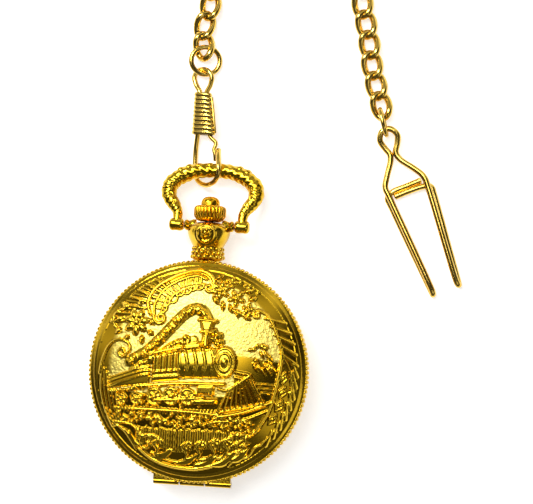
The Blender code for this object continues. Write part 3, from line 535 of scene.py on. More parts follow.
# square grid folded into a disc, so there is no pole and the rim is a clean circle
discX = gridA * np.sqrt(1 - gridB**2 / 2)
discY = gridB * np.sqrt(1 - gridA**2 / 2)
fieldX, fieldY = (discX * cover["radius"]).ravel(), (discY * cover["radius"]).ravel()
raised = np.zeros_like(fieldX)
satin = np.zeros_like(fieldX)


def nearby(low, high, margin):
    return np.where((fieldX > low[0] - margin) & (fieldX < high[0] + margin)
                    & (fieldY > low[1] - margin) & (fieldY < high[1] + margin))[0]


def stroke(points, width, height, cuts=5, taper=False, add=False, base=0.0):
    # a rounded ridge along a path; with taper it thins to its ends
    path = smoothPath(points, cuts) if cuts > 1 else np.array(points, float)
    spots = nearby(path.min(axis=0), path.max(axis=0), width)
    x, y = fieldX[spots], fieldY[spots]
    best, where = np.full(len(spots), 1e9), np.zeros(len(spots))
    for n in range(len(path) - 1):
        a, d = path[n], path[n + 1] - path[n]
        t = np.clip(((x - a[0]) * d[0] + (y - a[1]) * d[1]) / max(d @ d, 1e-9), 0, 1)
        gap = np.hypot(x - a[0] - t * d[0], y - a[1] - t * d[1])
        closer = gap < best
        best[closer], where[closer] = gap[closer], (n + t[closer]) / (len(path) - 1)
    half = width / 2 * (0.35 + 0.65 * np.sin(math.pi * where) if taper else 1.0)
    crest = height * np.sqrt(np.clip(1 - (best / half) ** 2, 0, 1))
    hit = best < half
    if add:
        raised[spots[hit]] += crest[hit]
    else:
        raised[spots[hit]] = np.maximum(raised[spots[hit]], base + crest[hit])
    satin[spots[hit]] = 0.0


def blob(x0, y0, rx, ry, height, turnDeg=0.0, power=0.5, base=0.0):
    reach = max(rx, ry)
    spots = nearby((x0 - reach, y0 - reach), (x0 + reach, y0 + reach), 0.1)
    c, s = math.cos(math.radians(turnDeg)), math.sin(math.radians(turnDeg))
    x, y = fieldX[spots] - x0, fieldY[spots] - y0
    share = ((x * c + y * s) / rx) ** 2 + ((y * c - x * s) / ry) ** 2
    hit = share < 1
    raised[spots[hit]] = np.maximum(raised[spots[hit]], base + height * (1 - share[hit]) ** power)
    satin[spots[hit]] = 0.0


def slab(corners, height, edge=0.35, satinLevel=0.0):
    # a flat raised shape with soft edges, corners anticlockwise and convex
    corners = np.array(corners, float)
    spots = nearby(corners.min(axis=0), corners.max(axis=0), 0.1)
    depth = np.full(len(spots), 1e9)
    for a, b in zip(corners, np.roll(corners, -1, axis=0)):
        d = (b - a) / np.linalg.norm(b - a)
        depth = np.minimum(depth, d[0] * (fieldY[spots] - a[1]) - d[1] * (fieldX[spots] - a[0]))
    hit = depth > 0
    raised[spots[hit]] = np.maximum(raised[spots[hit]], height * np.clip(depth[hit] / edge, 0, 1))
    satin[spots[hit]] = satinLevel


def curl(x0, y0, radius, startDeg, turns, width, height):
    count = int(14 * abs(turns)) + 4
    path = []
    for n in range(count):
        share = n / (count - 1)
        angle = math.radians(startDeg) + 2 * math.pi * turns * share
        reach = radius * (1 - 0.85 * share)
        path.append((x0 + reach * math.cos(angle), y0 + reach * math.sin(angle)))
    stroke(path, width, height, 3)


def leaf(x0, y0, x1, y1, width, height):
    middle = ((x0 + x1) / 2, (y0 + y1) / 2)
    long = math.hypot(x1 - x0, y1 - y0)
    turn = math.degrees(math.atan2(y1 - y0, x1 - x0))
    blob(*middle, long / 2, width / 2, height, turn, 0.8)
    stroke([(x0, y0), middle, (x1, y1)], 0.32, 0.16, 2, add=True)


def flower(x0, y0, radius, petals, turnDeg, height):
    for n in range(petals):
        angle = math.radians(turnDeg) + 2 * math.pi * n / petals
        blob(x0 + 0.6 * radius * math.cos(angle), y0 + 0.6 * radius * math.sin(angle), 0.46 * radius, 0.3 * radius,
             height, math.degrees(angle), 0.7)
    blob(x0, y0, 0.3 * radius, 0.3 * radius, height * 1.3)


def arcPoints(radius, startDeg, endDeg, count=9, centre=(0, 0)):
    return [(centre[0] + radius * math.cos(math.radians(a)), centre[1] + radius * math.sin(math.radians(a)))
            for a in np.linspace(startDeg, endDeg, count)]


def ovalLine(x0, y0, rx, ry, count, width, height):
    around = np.linspace(0, 2 * math.pi, count)
    stroke([(x0 + rx * math.cos(a), y0 + ry * math.sin(a)) for a in around], width, height, 1, add=True)


def beadRow(path, pitch, radius, height, wobble=0.0):
    path = smoothPath(path, 6)
    run = np.concatenate([[0], np.cumsum(np.linalg.norm(np.diff(path, axis=0), axis=1))])
    for at in np.arange(0, run[-1], pitch):
        x, y = np.interp(at, run, path[:, 0]), np.interp(at, run, path[:, 1])
        size = radius * (1 + wobble * (rng.random() - 0.5))
        blob(x + wobble * (rng.random() - 0.5), y + wobble * (rng.random() - 0.5), size, size * 0.85, height,
             rng.random() * 180)


def carveSky():
    # stippled ground inside the frame, plain polished ground round it
    edge = np.clip((19.2 - np.hypot(fieldX - 0.1, fieldY - 0.6)) / 1.2, 0, 1)
    hill = np.clip((fieldY - 3.3 + 0.12 * (fieldX - 12)) / 0.7, 0, 1)
    satin[:] = np.where(fieldX > 8.6, np.minimum(edge, hill), edge * (fieldY > -5.0))
    band = np.hypot(fieldX, fieldY) > 21.6
    raised[band] = np.maximum(raised[band], 0.12)


def carveScrolls():
    outer = [(-10.2, 11.6), (-11.0, 14.0), (-10.0, 16.8), (-7.6, 18.8), (-4.2, 20.6), (-0.9, 21.5), (1.6, 20.9),
             (3.0, 19.2)]
    stroke(outer, 0.75, 0.62)
    second = [(-9.3, 11.4), (-9.5, 13.6), (-8.3, 16.2), (-6.2, 18.2), (-3.2, 19.7), (-0.7, 20.3), (1.2, 19.6)]
    stroke(second, 0.6, 0.5)
    scallop = [(-7.9, 12.6), (-7.6, 14.4), (-5.8, 15.4), (-4.4, 17.0), (-2.6, 17.6), (-1.0, 18.6), (0.6, 18.2)]
    path, lip = smoothPath(scallop, 5), smoothPath(second, 5)
    for n in range(1, 24):
        a, b = path[int(n / 24 * (len(path) - 1))], lip[int((0.1 + 0.86 * n / 24) * (len(lip) - 1))]
        stroke([a, b], 0.4, 0.36, 1)
    for n in range(7):
        at = path[int((n + 0.5) / 7 * (len(path) - 1))]
        toward = np.array((0.5, 12.0)) - at
        spot = at + toward / np.linalg.norm(toward) * 0.5
        ring = arcPoints(1.15, 0, 360, 13, spot - toward / np.linalg.norm(toward) * 0.5)
        stroke([r for r in ring if (np.array(r) - at) @ toward > -0.4], 0.5, 0.46, 3)
    curl(-8.0, 11.0, 1.5, 170, 1.2, 0.7, 0.62)
    curl(2.0, 17.9, 1.3, 60, -1.15, 0.65, 0.58)
    # fluting between the scroll and the rim
    for turn in np.arange(117, 156, 6.0):
        a, b = math.radians(turn), math.radians(turn - 9)
        stroke([(17.2 * math.cos(b), 17.2 * math.sin(b)), (21.3 * math.cos(a), 21.3 * math.sin(a))], 0.62, 0.4, 2)
        a, b = a - 0.045, b - 0.045
        stroke([(18.0 * math.cos(b), 18.0 * math.sin(b)), (21.3 * math.cos(a), 21.3 * math.sin(a))], 0.4, 0.24, 2)
    # the left curl, and lines that sweep down from it
    sweep = [(-15.3, 2.6), (-14.2, 4.0), (-15.0, 5.5), (-17.2, 5.9), (-19.2, 4.4), (-20.4, 1.4), (-20.9, -1.4)]
    stroke(sweep, 0.7, 0.6)
    curl(-15.9, 3.4, 1.2, -40, -1.1, 0.62, 0.6)
    for n in range(5):
        shift = 0.92 * n
        line = [(-20.4 + 0.7 * shift, 0.4 - 0.9 * shift), (-20.4 + 0.9 * shift, -4.4), (-19.4 + 0.85 * shift, -8.6),
                (-17.4 + 0.5 * shift, -12.6 + 0.2 * shift)]
        stroke(line, 0.55, 0.5)


def carveFlowers():
    flower(-13.2, 9.8, 2.8, 7, 12, 0.72)
    for x0, y0, x1, y1 in ((-16.0, 10.6, -18.0, 10.0), (-15.2, 12.6, -16.8, 13.8), (-11.8, 7.2, -11.6, 5.2),
                           (-14.6, 7.0, -15.6, 5.8), (-10.6, 10.6, -9.2, 9.4), (-13.0, 13.0, -12.6, 14.6),
                           (-16.4, 8.4, -17.8, 7.2), (-10.6, 8.2, -9.2, 7.2)):
        leaf(x0, y0, x1, y1, 1.25, 0.55)
    stroke([(-16.6, 12.4), (-18.4, 11.2), (-18.2, 9.0), (-16.4, 7.6)], 0.45, 0.4)
    flower(4.6, 17.5, 2.0, 6, 20, 0.66)
    flower(8.0, 15.9, 1.9, 5, 50, 0.64)
    flower(6.6, 19.2, 1.3, 5, 0, 0.52)
    flower(10.6, 13.6, 1.5, 5, 10, 0.6)
    for x0, y0, x1, y1 in ((2.9, 16.2, 4.4, 14.4), (5.0, 15.2, 5.4, 13.2), (6.4, 14.6, 7.4, 12.8),
                           (8.6, 13.4, 8.6, 11.8), (9.6, 12.6, 11.2, 11.4), (9.4, 17.4, 11.2, 17.6),
                           (10.4, 15.6, 12.2, 16.2), (3.2, 19.8, 4.8, 20.6), (7.0, 13.6, 10.0, 12.2)):
        leaf(x0, y0, x1, y1, 1.15, 0.55)
    beadRow([(8.4, 19.4), (11.0, 18.2), (13.0, 16.6)], 1.1, 0.4, 0.3, 0.4)


def carveFrame():
    right = [(12.7, 13.6), (15.0, 12.4), (17.0, 8.8), (18.2, 5.2), (18.0, 0.8), (17.1, -4.2), (16.0, -8.0),
             (13.8, -11.8)]
    stroke(right, 0.75, 0.66)
    curl(12.6, 12.6, 1.0, 80, 1.1, 0.6, 0.55)
    outer = [(18.4, 4.2), (20.0, 1.4), (20.5, -2.4), (19.8, -7.0), (17.6, -11.4), (14.6, -14.8)]
    stroke(outer, 0.5, 0.46)
    # long slanted ribs between the frame and the rim
    for n in range(13):
        a, b = math.radians(40 - 6.2 * n), math.radians(31 - 6.2 * n)
        inner = 18.6 if n < 5 else 20.6
        stroke([(inner * math.cos(a), inner * math.sin(a)), (21.7 * math.cos(b), 21.7 * math.sin(b))], 0.6, 0.46, 2)
    for n, (x0, y0) in enumerate(((18.9, -0.4), (18.8, -3.4), (18.2, -6.3), (17.0, -9.2))):
        lean = math.radians(78 - 8 * n)
        c, d = math.cos(lean), math.sin(lean)
        corners = [(x0 + 1.25 * c, y0 + 1.25 * d), (x0 - 0.75 * d, y0 + 0.75 * c), (x0 - 1.25 * c, y0 - 1.25 * d),
                   (x0 + 0.75 * d, y0 - 0.75 * c)]
        stroke(corners + corners[:1], 0.4, 0.42, 1)
        blob(x0, y0, 0.55, 0.36, 0.3, math.degrees(lean))


def carveSmoke():
    plume = [(-14.0, 1.5), (-10.4, 3.8), (-8.0, 6.2), (-5.6, 8.9), (-3.2, 11.6), (-1.1, 13.1), (0.9, 12.9),
             (2.2, 11.2)]
    stroke(plume, 2.5, 0.42)
    path = smoothPath(plume, 8)
    for n in range(19):
        at = path[int(n / 18 * (len(path) - 1))]
        size = 0.75 + 0.3 * (n / 18)
        blob(at[0] + 0.16 * (-1) ** n, at[1] - 0.16 * (-1) ** n, size * 1.05, size * 0.66, 1.0, 118, 0.5)
    stroke([(-13.2, -0.3), (-9.6, 2.0), (-6.8, 3.8), (-4.2, 5.6), (-0.4, 6.6)], 2.0, 0.34)
    beadRow([(-12.6, 0.2), (-9.4, 2.4), (-6.6, 4.2), (-4.0, 5.9), (-0.8, 6.6)], 1.15, 0.72, 0.72, 0.3)
    for x0, y0, size in ((3.6, 8.6, 1.0), (4.9, 7.7, 1.05), (5.4, 6.4, 0.85), (3.9, 6.9, 0.9), (2.9, 7.3, 0.7),
                         (4.6, 6.0, 0.7)):
        blob(x0, y0, size, size * 0.85, 0.98, 30, 0.5)
        blob(x0 - 0.2, y0 + 0.2, size * 0.35, size * 0.3, 1.2, 30, 0.5)


def carveTrain():
    # boiler, banded, with its round front to the right
    for n in range(44):
        share = n / 43
        blob(-2.6 + 8.6 * share, 1.5 + 0.7 * share, 1.0, 3.0 + 0.3 * share, 0.95, 0, 0.5)
    for share in (0.06, 0.28, 0.5, 0.72, 0.9):
        x0, y0, half = -2.6 + 8.6 * share, 1.5 + 0.7 * share, 2.9 + 0.3 * share
        stroke([(x0 - 0.1, y0 + half), (x0 + 0.75, y0), (x0 - 0.1, y0 - half)], 0.6, 0.3, 6, add=True)
    blob(6.5, 2.3, 2.45, 3.4, 1.25, 0, 0.16)
    for reach, width in ((0.87, 0.5), (0.56, 0.42)):
        ovalLine(6.5, 2.3, 2.45 * reach, 3.4 * reach, 30, width, 0.26)
    blob(6.5, 2.3, 0.7, 0.9, 0.35, 0, 0.5, 1.25)
    # flared stack with a collar, and a lamp box behind it
    slab([(1.2, 4.6), (3.3, 4.6), (3.3, 8.6), (1.2, 8.6)], 1.3, 0.8)
    slab([(1.2, 8.2), (3.3, 8.2), (4.2, 11.2), (0.4, 11.2)], 1.3, 0.7)
    stroke([(0.5, 11.0), (4.2, 10.8)], 0.85, 1.5, 1)
    stroke([(1.0, 8.5), (3.6, 8.4)], 0.6, 1.45, 1)
    slab([(-2.4, 4.2), (1.3, 4.9), (1.3, 6.3), (-2.4, 5.7)], 1.05, 0.3)
    stroke([(-2.5, 5.8), (1.3, 6.4)], 0.45, 0.3, 1, add=True)
    blob(-2.2, 7.0, 0.8, 0.7, 0.9, 0, 0.5)
    # cab with posts and a roof
    slab([(-9.2, -2.8), (-3.0, -2.0), (-3.0, 4.4), (-9.2, 2.8)], 0.62, 0.35)
    stroke([(-9.9, 3.0), (-6.4, 4.1), (-2.8, 4.9)], 0.8, 1.05, 2)
    for n in range(5):
        x0 = -8.5 + 1.25 * n
        stroke([(x0, -0.3 + 0.1 * n), (x0, 2.6 + 0.3 * n)], 0.56, 0.42, 1, add=True)
    stroke([(-9.0, -0.6), (-3.2, 0.1)], 0.5, 0.4, 1, add=True)
    for n in range(8):
        blob(-8.8 + 0.78 * n, -1.7 + 0.08 * n, 0.34, 0.34, 0.32, 0, 0.5, 0.6)
    # tender running back to the left
    slab([(-18.6, -4.6), (-9.4, -3.2), (-9.4, 0.8), (-12.2, 0.2), (-18.6, -2.2)], 0.55, 0.35)
    for drop in (0.0, 0.85, 1.7):
        stroke([(-18.8, -2.4 - drop), (-12.2, 0.0 - drop), (-9.6, 0.6 - drop)], 0.42, 0.34, 3, add=True)
    beadRow([(-18.4, -5.2), (-14.4, -4.6), (-10.2, -3.8)], 0.85, 0.5, 0.66, 0.2)
    # frames, wheels and rods below the boiler
    stroke([(-13.0, -3.9), (-6.0, -3.0), (0.0, -2.6), (6.6, -2.4)], 0.9, 0.8, 3)
    wheels = ((-15.6, -6.7, 1.3), (-12.2, -6.3, 1.4), (-8.2, -5.8, 1.95), (-4.6, -5.5, 2.0), (-1.0, -5.4, 1.9))
    for x0, y0, reach in wheels:
        blob(x0, y0, reach, reach, 0.5, 0, 0.2)
        ovalLine(x0, y0, 0.84 * reach, 0.84 * reach, 22, 0.45, 0.36)
        for spoke in range(3):
            a = math.pi * spoke / 3 + 0.3
            dx, dy = 0.7 * reach * math.cos(a), 0.7 * reach * math.sin(a)
            stroke([(x0 - dx, y0 - dy), (x0 + dx, y0 + dy)], 0.34, 0.2, 1, add=True)
        blob(x0, y0, 0.5, 0.5, 0.35, 0, 0.5, 0.7)
    stroke([(-8.2, -6.4), (-4.6, -6.2), (2.4, -5.4)], 0.62, 1.05, 1)
    slab([(0.8, -4.9), (4.6, -4.6), (4.6, -2.6), (0.8, -2.9)], 1.1, 0.3)
    slab([(0.2, -7.2), (5.2, -6.8), (5.2, -5.4), (0.2, -5.8)], 0.85, 0.3)
    for n in range(34):
        x0, y0 = -13.0 + 18.0 * rng.random(), -3.0 - 4.8 * rng.random()
        blob(x0, y0, 0.3 + 0.3 * rng.random(), 0.25 + 0.2 * rng.random(), 0.7 + 0.5 * rng.random(),
             180 * rng.random())
    # slatted guard that fans out in front
    for n in range(8):
        share = n / 7
        stroke([(5.8 + 8.4 * share, -7.9 + 2.0 * share), (7.8 + 3.6 * share, -3.2 + 2.5 * share)], 0.58, 0.95, 1)
    stroke([(5.4, -3.3), (6.9, -3.6), (8.6, -2.8), (11.9, -0.2)], 0.6, 0.85, 4)
    stroke([(11.9, -0.2), (13.2, -2.8), (15.0, -5.8)], 0.62, 0.85, 3)
    stroke([(5.4, -8.3), (15.0, -6.0)], 0.6, 0.75, 1)
    stroke([(8.8, 0.4), (11.6, 0.0)], 0.5, 0.5, 1)
    stroke([(8.6, -0.7), (11.0, -1.2)], 0.45, 0.45, 1)


def carveLand():
    for n in range(13):   # trees on the right, over a plain hill that the painted shade on low ground darkens
        x0, y0 = 12.4 + 4.6 * rng.random(), 1.6 + 3.9 * rng.random()
        leaf(x0, y0, x0 + 1.0, y0 - 1.5, 0.75, 0.6)
    beadRow([(11.6, 5.2), (13.6, 6.0), (15.8, 5.6)], 0.9, 0.6, 0.55, 0.5)
    for rise in (0.0, -0.95, -1.9):
        stroke([(12.8 - 0.5 * rise, -1.9 + rise), (17.0, -2.0 + 0.9 * rise)], 0.42, 0.42, 1)
    stroke([(5.6, -9.3), (11.0, -8.0), (17.0, -5.5)], 0.7, 0.66)
    stroke([(4.6, -10.4), (11.0, -9.6), (16.0, -7.4)], 0.5, 0.5)
    stroke([(-17.0, -8.6), (-8.0, -8.5), (0.0, -8.6), (5.6, -8.9)], 0.6, 0.5)
    for n in range(30):
        stroke([(-16.4 + 0.78 * n, -9.2), (-16.1 + 0.78 * n, -8.2)], 0.38, 0.36, 1)
    for n in range(120):   # undergrowth
        x0, y0 = -17.0 + 31 * rng.random(), -9.4 - 2.9 * rng.random() ** 1.4
        if math.hypot(x0, y0) < 19.0:
            blob(x0, y0, 0.34 + 0.34 * rng.random(), 0.3 + 0.22 * rng.random(), 0.4 + 0.35 * rng.random(),
                 180 * rng.random())
    for n in range(54):   # standing grass
        x0 = -15.6 + 27.0 * n / 53 + 0.1 * rng.random()
        foot = -16.6 + 0.5 * math.sin(0.5 * x0)
        if math.hypot(x0, foot) < 20.4:
            stroke([(x0, foot), (x0 + 0.1, -12.2 - 0.5 * rng.random())], 0.4, 0.42, 1)


def carveFlourish():
    # flame shaped leaves that lean to the right, above two long bottom lines
    for x0, y0, high in ((-1.4, -18.6, 3.6), (1.4, -18.6, 4.0), (4.4, -18.2, 4.2), (7.2, -17.2, 3.6),
                         (-7.8, -18.0, 3.2)):
        flame = [(x0, y0), (x0 + 0.6, y0 + 0.35 * high), (x0 - 0.3, y0 + 0.75 * high), (x0 + 0.9, y0 + high)]
        stroke(flame, 1.0, 0.7, 5, True)
        curl(x0 + 1.2, y0 + 0.8 * high, 0.75, 150, -0.9, 0.45, 0.5)
        stroke([(x0 + 0.2, y0 + 0.1), (x0 + 2.0, y0 + 0.3), (x0 + 3.4, y0 + 1.3)], 0.8, 0.55, 5, True)
    curl(-9.6, -15.8, 1.9, 60, 1.0, 0.7, 0.62)
    for x0, y0, x1, y1 in ((-3.4, -19.6, 1.6, -17.4), (0.8, -19.8, 5.6, -17.6), (4.6, -19.6, 9.4, -16.8),
                           (-8.4, -18.6, -4.0, -16.8), (8.2, -18.4, 12.0, -15.8)):
        stroke([(x0, y0), ((x0 + x1) / 2, (y0 + y1) / 2 - 0.7), (x1, y1)], 1.5, 0.5, 5, True)
    stroke([(-12.2, -12.6), (-10.6, -14.2), (-8.0, -14.0), (-6.6, -15.6), (-7.6, -17.6)], 0.7, 0.6)
    stroke([(-11.2, -17.0), (-8.4, -19.0), (-4.4, -20.3), (0.6, -20.6), (4.4, -19.8)], 0.75, 0.6)
    stroke([(-8.6, -17.6), (-5.0, -19.0), (-1.0, -19.5)], 0.5, 0.42)
    # shell, lower left
    for n in range(4):
        fold = [(-16.4 + 0.9 * n, -12.2 - 0.35 * n), (-14.2 + 0.6 * n, -13.8 - 0.5 * n),
                (-12.0 + 0.3 * n, -17.2 + 0.3 * n)]
        stroke(fold, 0.7, 0.55, 5, True)
    stroke([(-17.2, -11.6), (-13.6, -11.8), (-11.2, -13.6), (-10.8, -16.4)], 0.5, 0.5)
    for x0, y0, x1, y1 in ((7.6, -14.2, 9.6, -12.4), (8.6, -15.4, 10.8, -14.0), (9.6, -13.0, 12.0, -12.4),
                           (10.4, -15.2, 12.4, -14.6), (8.8, -16.6, 11.0, -16.4), (11.4, -13.6, 13.2, -12.2)):
        leaf(x0, y0, x1, y1, 1.0, 0.6)
    stroke([(8.0, -19.6), (9.6, -18.0), (12.0, -17.4), (13.4, -15.4), (14.8, -14.6)], 0.45, 0.42)


def makeCoverRelief():
    for carve in (carveSky, carveScrolls, carveFlowers, carveFrame, carveLand, carveSmoke, carveTrain, carveFlourish):
        carve()
    reach = np.hypot(fieldX, fieldY)
    fade = np.clip((cover["radius"] - reach) / 0.7, 0, 1)
    height = domeHeight(reach) + cover["lift"] + raised * cover["amount"] * fade
    size = cover["cells"] + 1
    number = np.arange(size * size).reshape(size, size)
    faces = [tuple(q) for q in np.stack([number[:-1, :-1], number[:-1, 1:], number[1:, 1:], number[1:, :-1]], -1)
             .reshape(-1, 4).tolist()]
    points = np.stack([fieldX, fieldY, height], 1)
    edge = np.concatenate([number[0, :-1], number[:-1, -1], number[-1, :0:-1], number[:0:-1, 0]])
    # the underside follows the dome just inside the cover's own wall
    rim, base = points[edge], len(points)
    under = []
    for share in (0.999, 0.9, 0.75, 0.55, 0.3):
        ring = rim * (share, share, 1)
        ring[:, 2] = domeHeight(np.hypot(ring[:, 0], ring[:, 1])) - cover["skin"]
        under.append(ring)
    count = len(edge)
    rows = [edge.tolist()] + [list(range(base + n * count, base + (n + 1) * count)) for n in range(len(under))]
    for low, high in zip(rows, rows[1:]):
        faces += [(low[k], high[k], high[(k + 1) % count], low[(k + 1) % count]) for k in range(count)]
    tip = base + len(under) * count
    faces += [(rows[-1][k], tip, rows[-1][(k + 1) % count]) for k in range(count)]
    points = np.vstack([points, *under, [(0, 0, domeHeight(0) - cover["skin"])]])
    mesh = bpy.data.meshes.new("coverRelief")
    mesh.from_pydata((points * mm).tolist(), [], faces)
    spare = np.zeros(len(points) - len(satin))
    # painted shade: weight for darkening the low, unstippled ground, up to 0.75
    hollow = np.clip(1 - raised / 0.35, 0, 1) * (1 - satin) * 0.75
    for label, values in (("satin", satin), ("hollow", hollow)):
        layer = mesh.attributes.new(label, "FLOAT", "POINT")
        layer.data.foreach_set("value", np.concatenate([values, spare]).astype(np.float32))
    faceOutward(mesh)
    mesh.shade_smooth()
    mesh.materials.append(coverGold)
    settle(newObject("coverRelief", mesh), "cover")
    print("cover relief faces", len(mesh.polygons))


makeCoverRelief()

# beaded rope round the edge of the cover and the band
edging = {"radius": 23.45, "beads": 146, "beadSize": 0.44, "rowGap": 0.78, "topZ": 10.15, "bandRadius": 22.9,
          "neckEdge": 22.7, "beadShape": (0.75, 0.85, 1.35), "slant": 0.55, "bandRows": (8.1, 5.0)}


def beadTree():
    # one slanted bead on each point of a circle, none where Y is past Stop Above
    tree, given = newTree("beadEdge", (("Beads", "Int"), ("Ring Radius", "Float"), ("Bead Size", "Float"),
                                       ("Height", "Float"), ("Slant", "Float"), ("Stop Above", "Float")))
    ring = newNode(tree, "GeometryNodeMeshCircle", {"Vertices": given["Beads"], "Radius": given["Ring Radius"]})
    place = newNode(tree, "GeometryNodeInputPosition").outputs["Position"]
    outward = newNode(tree, "FunctionNodeAlignRotationToVector", {"Vector": place}, axis="X")
    slant = newNode(tree, "ShaderNodeCombineXYZ", {"X": given["Slant"]})
    asTurn = newNode(tree, "FunctionNodeEulerToRotation", {"Euler": slant.outputs["Vector"]})
    turned = newNode(tree, "FunctionNodeRotateRotation", {"Rotation": outward.outputs["Rotation"],
                                                          "Rotate By": asTurn.outputs["Rotation"]},
                     rotation_space="LOCAL")
    bead = newNode(tree, "GeometryNodeMeshIcoSphere", {"Subdivisions": 2, "Radius": given["Bead Size"]})
    parts = newNode(tree, "ShaderNodeSeparateXYZ", {"Vector": place})
    clear = newNode(tree, "FunctionNodeCompare", data_type="FLOAT", operation="LESS_THAN")
    fill(tree, clear, {0: parts.outputs["Y"], 1: given["Stop Above"]})
    placed = newNode(tree, "GeometryNodeInstanceOnPoints", {
        "Points": ring.outputs["Mesh"], "Selection": clear.outputs["Result"], "Instance": bead.outputs["Mesh"],
        "Rotation": turned.outputs["Rotation"], "Scale": edging["beadShape"]})
    real = newNode(tree, "GeometryNodeRealizeInstances", {"Geometry": placed.outputs["Instances"]})
    lifted = newNode(tree, "ShaderNodeCombineXYZ", {"Z": given["Height"]})
    moved = newNode(tree, "GeometryNodeTransform", {"Geometry": real.outputs["Geometry"],
                                                    "Translation": lifted.outputs["Vector"]})
    return endTree(tree, given, moved.outputs["Geometry"])


def makeEdging():
    tree = beadTree()
    slant, whole = edging["slant"], 99.0
    rows = (("coverBeadsUpper", "cover", edging["radius"], edging["topZ"], slant, whole),
            ("coverBeadsLower", "cover", edging["radius"] + 0.1, edging["topZ"] - edging["rowGap"], -slant, whole),
            ("bandBeads", "case", edging["bandRadius"], edging["bandRows"][0], slant, edging["neckEdge"]),
            ("bandBeadsLower", "case", edging["bandRadius"], edging["bandRows"][1], -slant, edging["neckEdge"]))
    for name, body, radius, height, lean, stopAbove in rows:
        carrier = newObject(name + "Carrier", bpy.data.meshes.new(name + "Carrier"))
        values = {"Beads": edging["beads"], "Ring Radius": radius * mm, "Bead Size": edging["beadSize"] * mm,
                  "Height": height * mm, "Slant": lean, "Stop Above": stopAbove * mm, "Finish": goldPolished}
        settle(grown(name, carrier, tree, values, goldPolished), body)


makeEdging()
print("edge beads made")

# smooth turned case pieces
def makeCase():
    back = [(0, 0), (9, 0), (9.4, 0.06), (12, 0.2), (15, 0.5), (19.5, 1.4), (21.8, 2.4), (22.5, 3.0), (22.6, 3.5),
            (21.35, 3.5), (21.35, 3.9), (20.8, 3.9), (20.8, 3.1), (19.2, 2.2), (15, 1.25), (9, 0.75), (0, 0.75)]
    points, faces = latheMesh(back, 128)
    makePiece("backShell", points, faces, goldPolished, "case", ("back_cover",))
    # smooth skins over the round faces that show: band, bezel, lid edge and lid inside
    band = [(22.0, 3.9), (22.44, 3.78), (22.95, 4.5), (22.95, 5.6), (22.8, 5.8), (22.8, 7.1), (22.95, 7.3),
            (22.95, 8.4), (22.64, 8.93), (22.0, 8.8)]
    ring = [(19.9, 9.6), (19.36, 9.75), (19.36, 10.25), (19.45, 10.34), (20.2, 10.34), (20.32, 10.2), (20.64, 9.32),
            (20.1, 9.3)]
    edge = [(22.3, 10.6), (22.5, 11.05), (23.0, 10.9), (23.4, 10.55), (23.53, 10.2), (23.53, 9.2), (23.3, 9.17),
            (22.9, 9.5)]
    ceiling = [(0, 13.7), (6, 13.55), (11.5, 13.15), (16.5, 12.35), (20.2, 11.25), (21.86, 10.38)]
    under = smoothPath(ceiling, 5).tolist()
    over = [(r, z + 0.22) for r, z in under[::-1]]
    for name, profile, body in (("bandSkin", band, "case"), ("bezelSkin", ring, "case"), ("lidEdge", edge, "cover"),
                                ("lidInside", under + over, "cover")):
        points, faces = latheMesh(profile, 160)
        makePiece(name, points, faces, goldPolished, body)


makeCase()

# pendant, crown and button, turned about the stem's line
bow = {"pivotY": 31.4, "droop": math.asin(0.232), "sides": 28, "fine": 16}
neck = {"axisZ": 6.0, "ribs": 24, "ribDepth": 0.34, "medallionY": 29.5}


def makeCrown():
    outside = [(2.0, 32.2), (2.45, 32.35), (2.9, 32.65), (3.3, 33.1), (3.5, 33.55), (3.5, 35.0), (3.4, 35.3),
               (3.1, 35.6), (2.7, 35.75)]
    inside = [(2.3, 35.75), (2.3, 34.0), (0.75, 34.0), (0.75, 33.6), (1.3, 33.6), (1.3, 32.2)]

    def ribs(row, angles):
        depth = neck["ribDepth"] * {2: 0.3, 3: 0.6, 4: 1.0, 5: 1.0, 6: 0.7, 7: 0.3}.get(row, 0)
        return depth * (np.abs(np.sin(neck["ribs"] / 2 * angles)) ** 0.5 - 1)

    points, faces = latheMesh(outside + inside, neck["ribs"] * 8, "y", (0, 0, neck["axisZ"]), ribs)
    makePiece("crownKnurl", points, faces, goldCrown, "crown", ("crown",), sharpDeg=60)
    button = [(0, 36.4), (0.75, 36.4), (0.75, 35.0), (1.95, 35.0), (2.05, 35.1), (2.05, 36.3), (1.98, 36.7),
              (1.78, 37.1), (1.4, 37.45), (0.8, 37.68), (0, 37.75)]
    points, faces = latheMesh(button, 64, "y", (0, 0, neck["axisZ"]))
    makePiece("domeButton", points, faces, goldCrown, "button", ("push_button",))


def sideways(shape, sign):
    # lays a turned shape along the bow's pivot line, to the left or the right
    points, faces = shape
    return np.stack([points[:, 2] * sign, points[:, 1] + bow["pivotY"], points[:, 0] + neck["axisZ"]], 1), faces


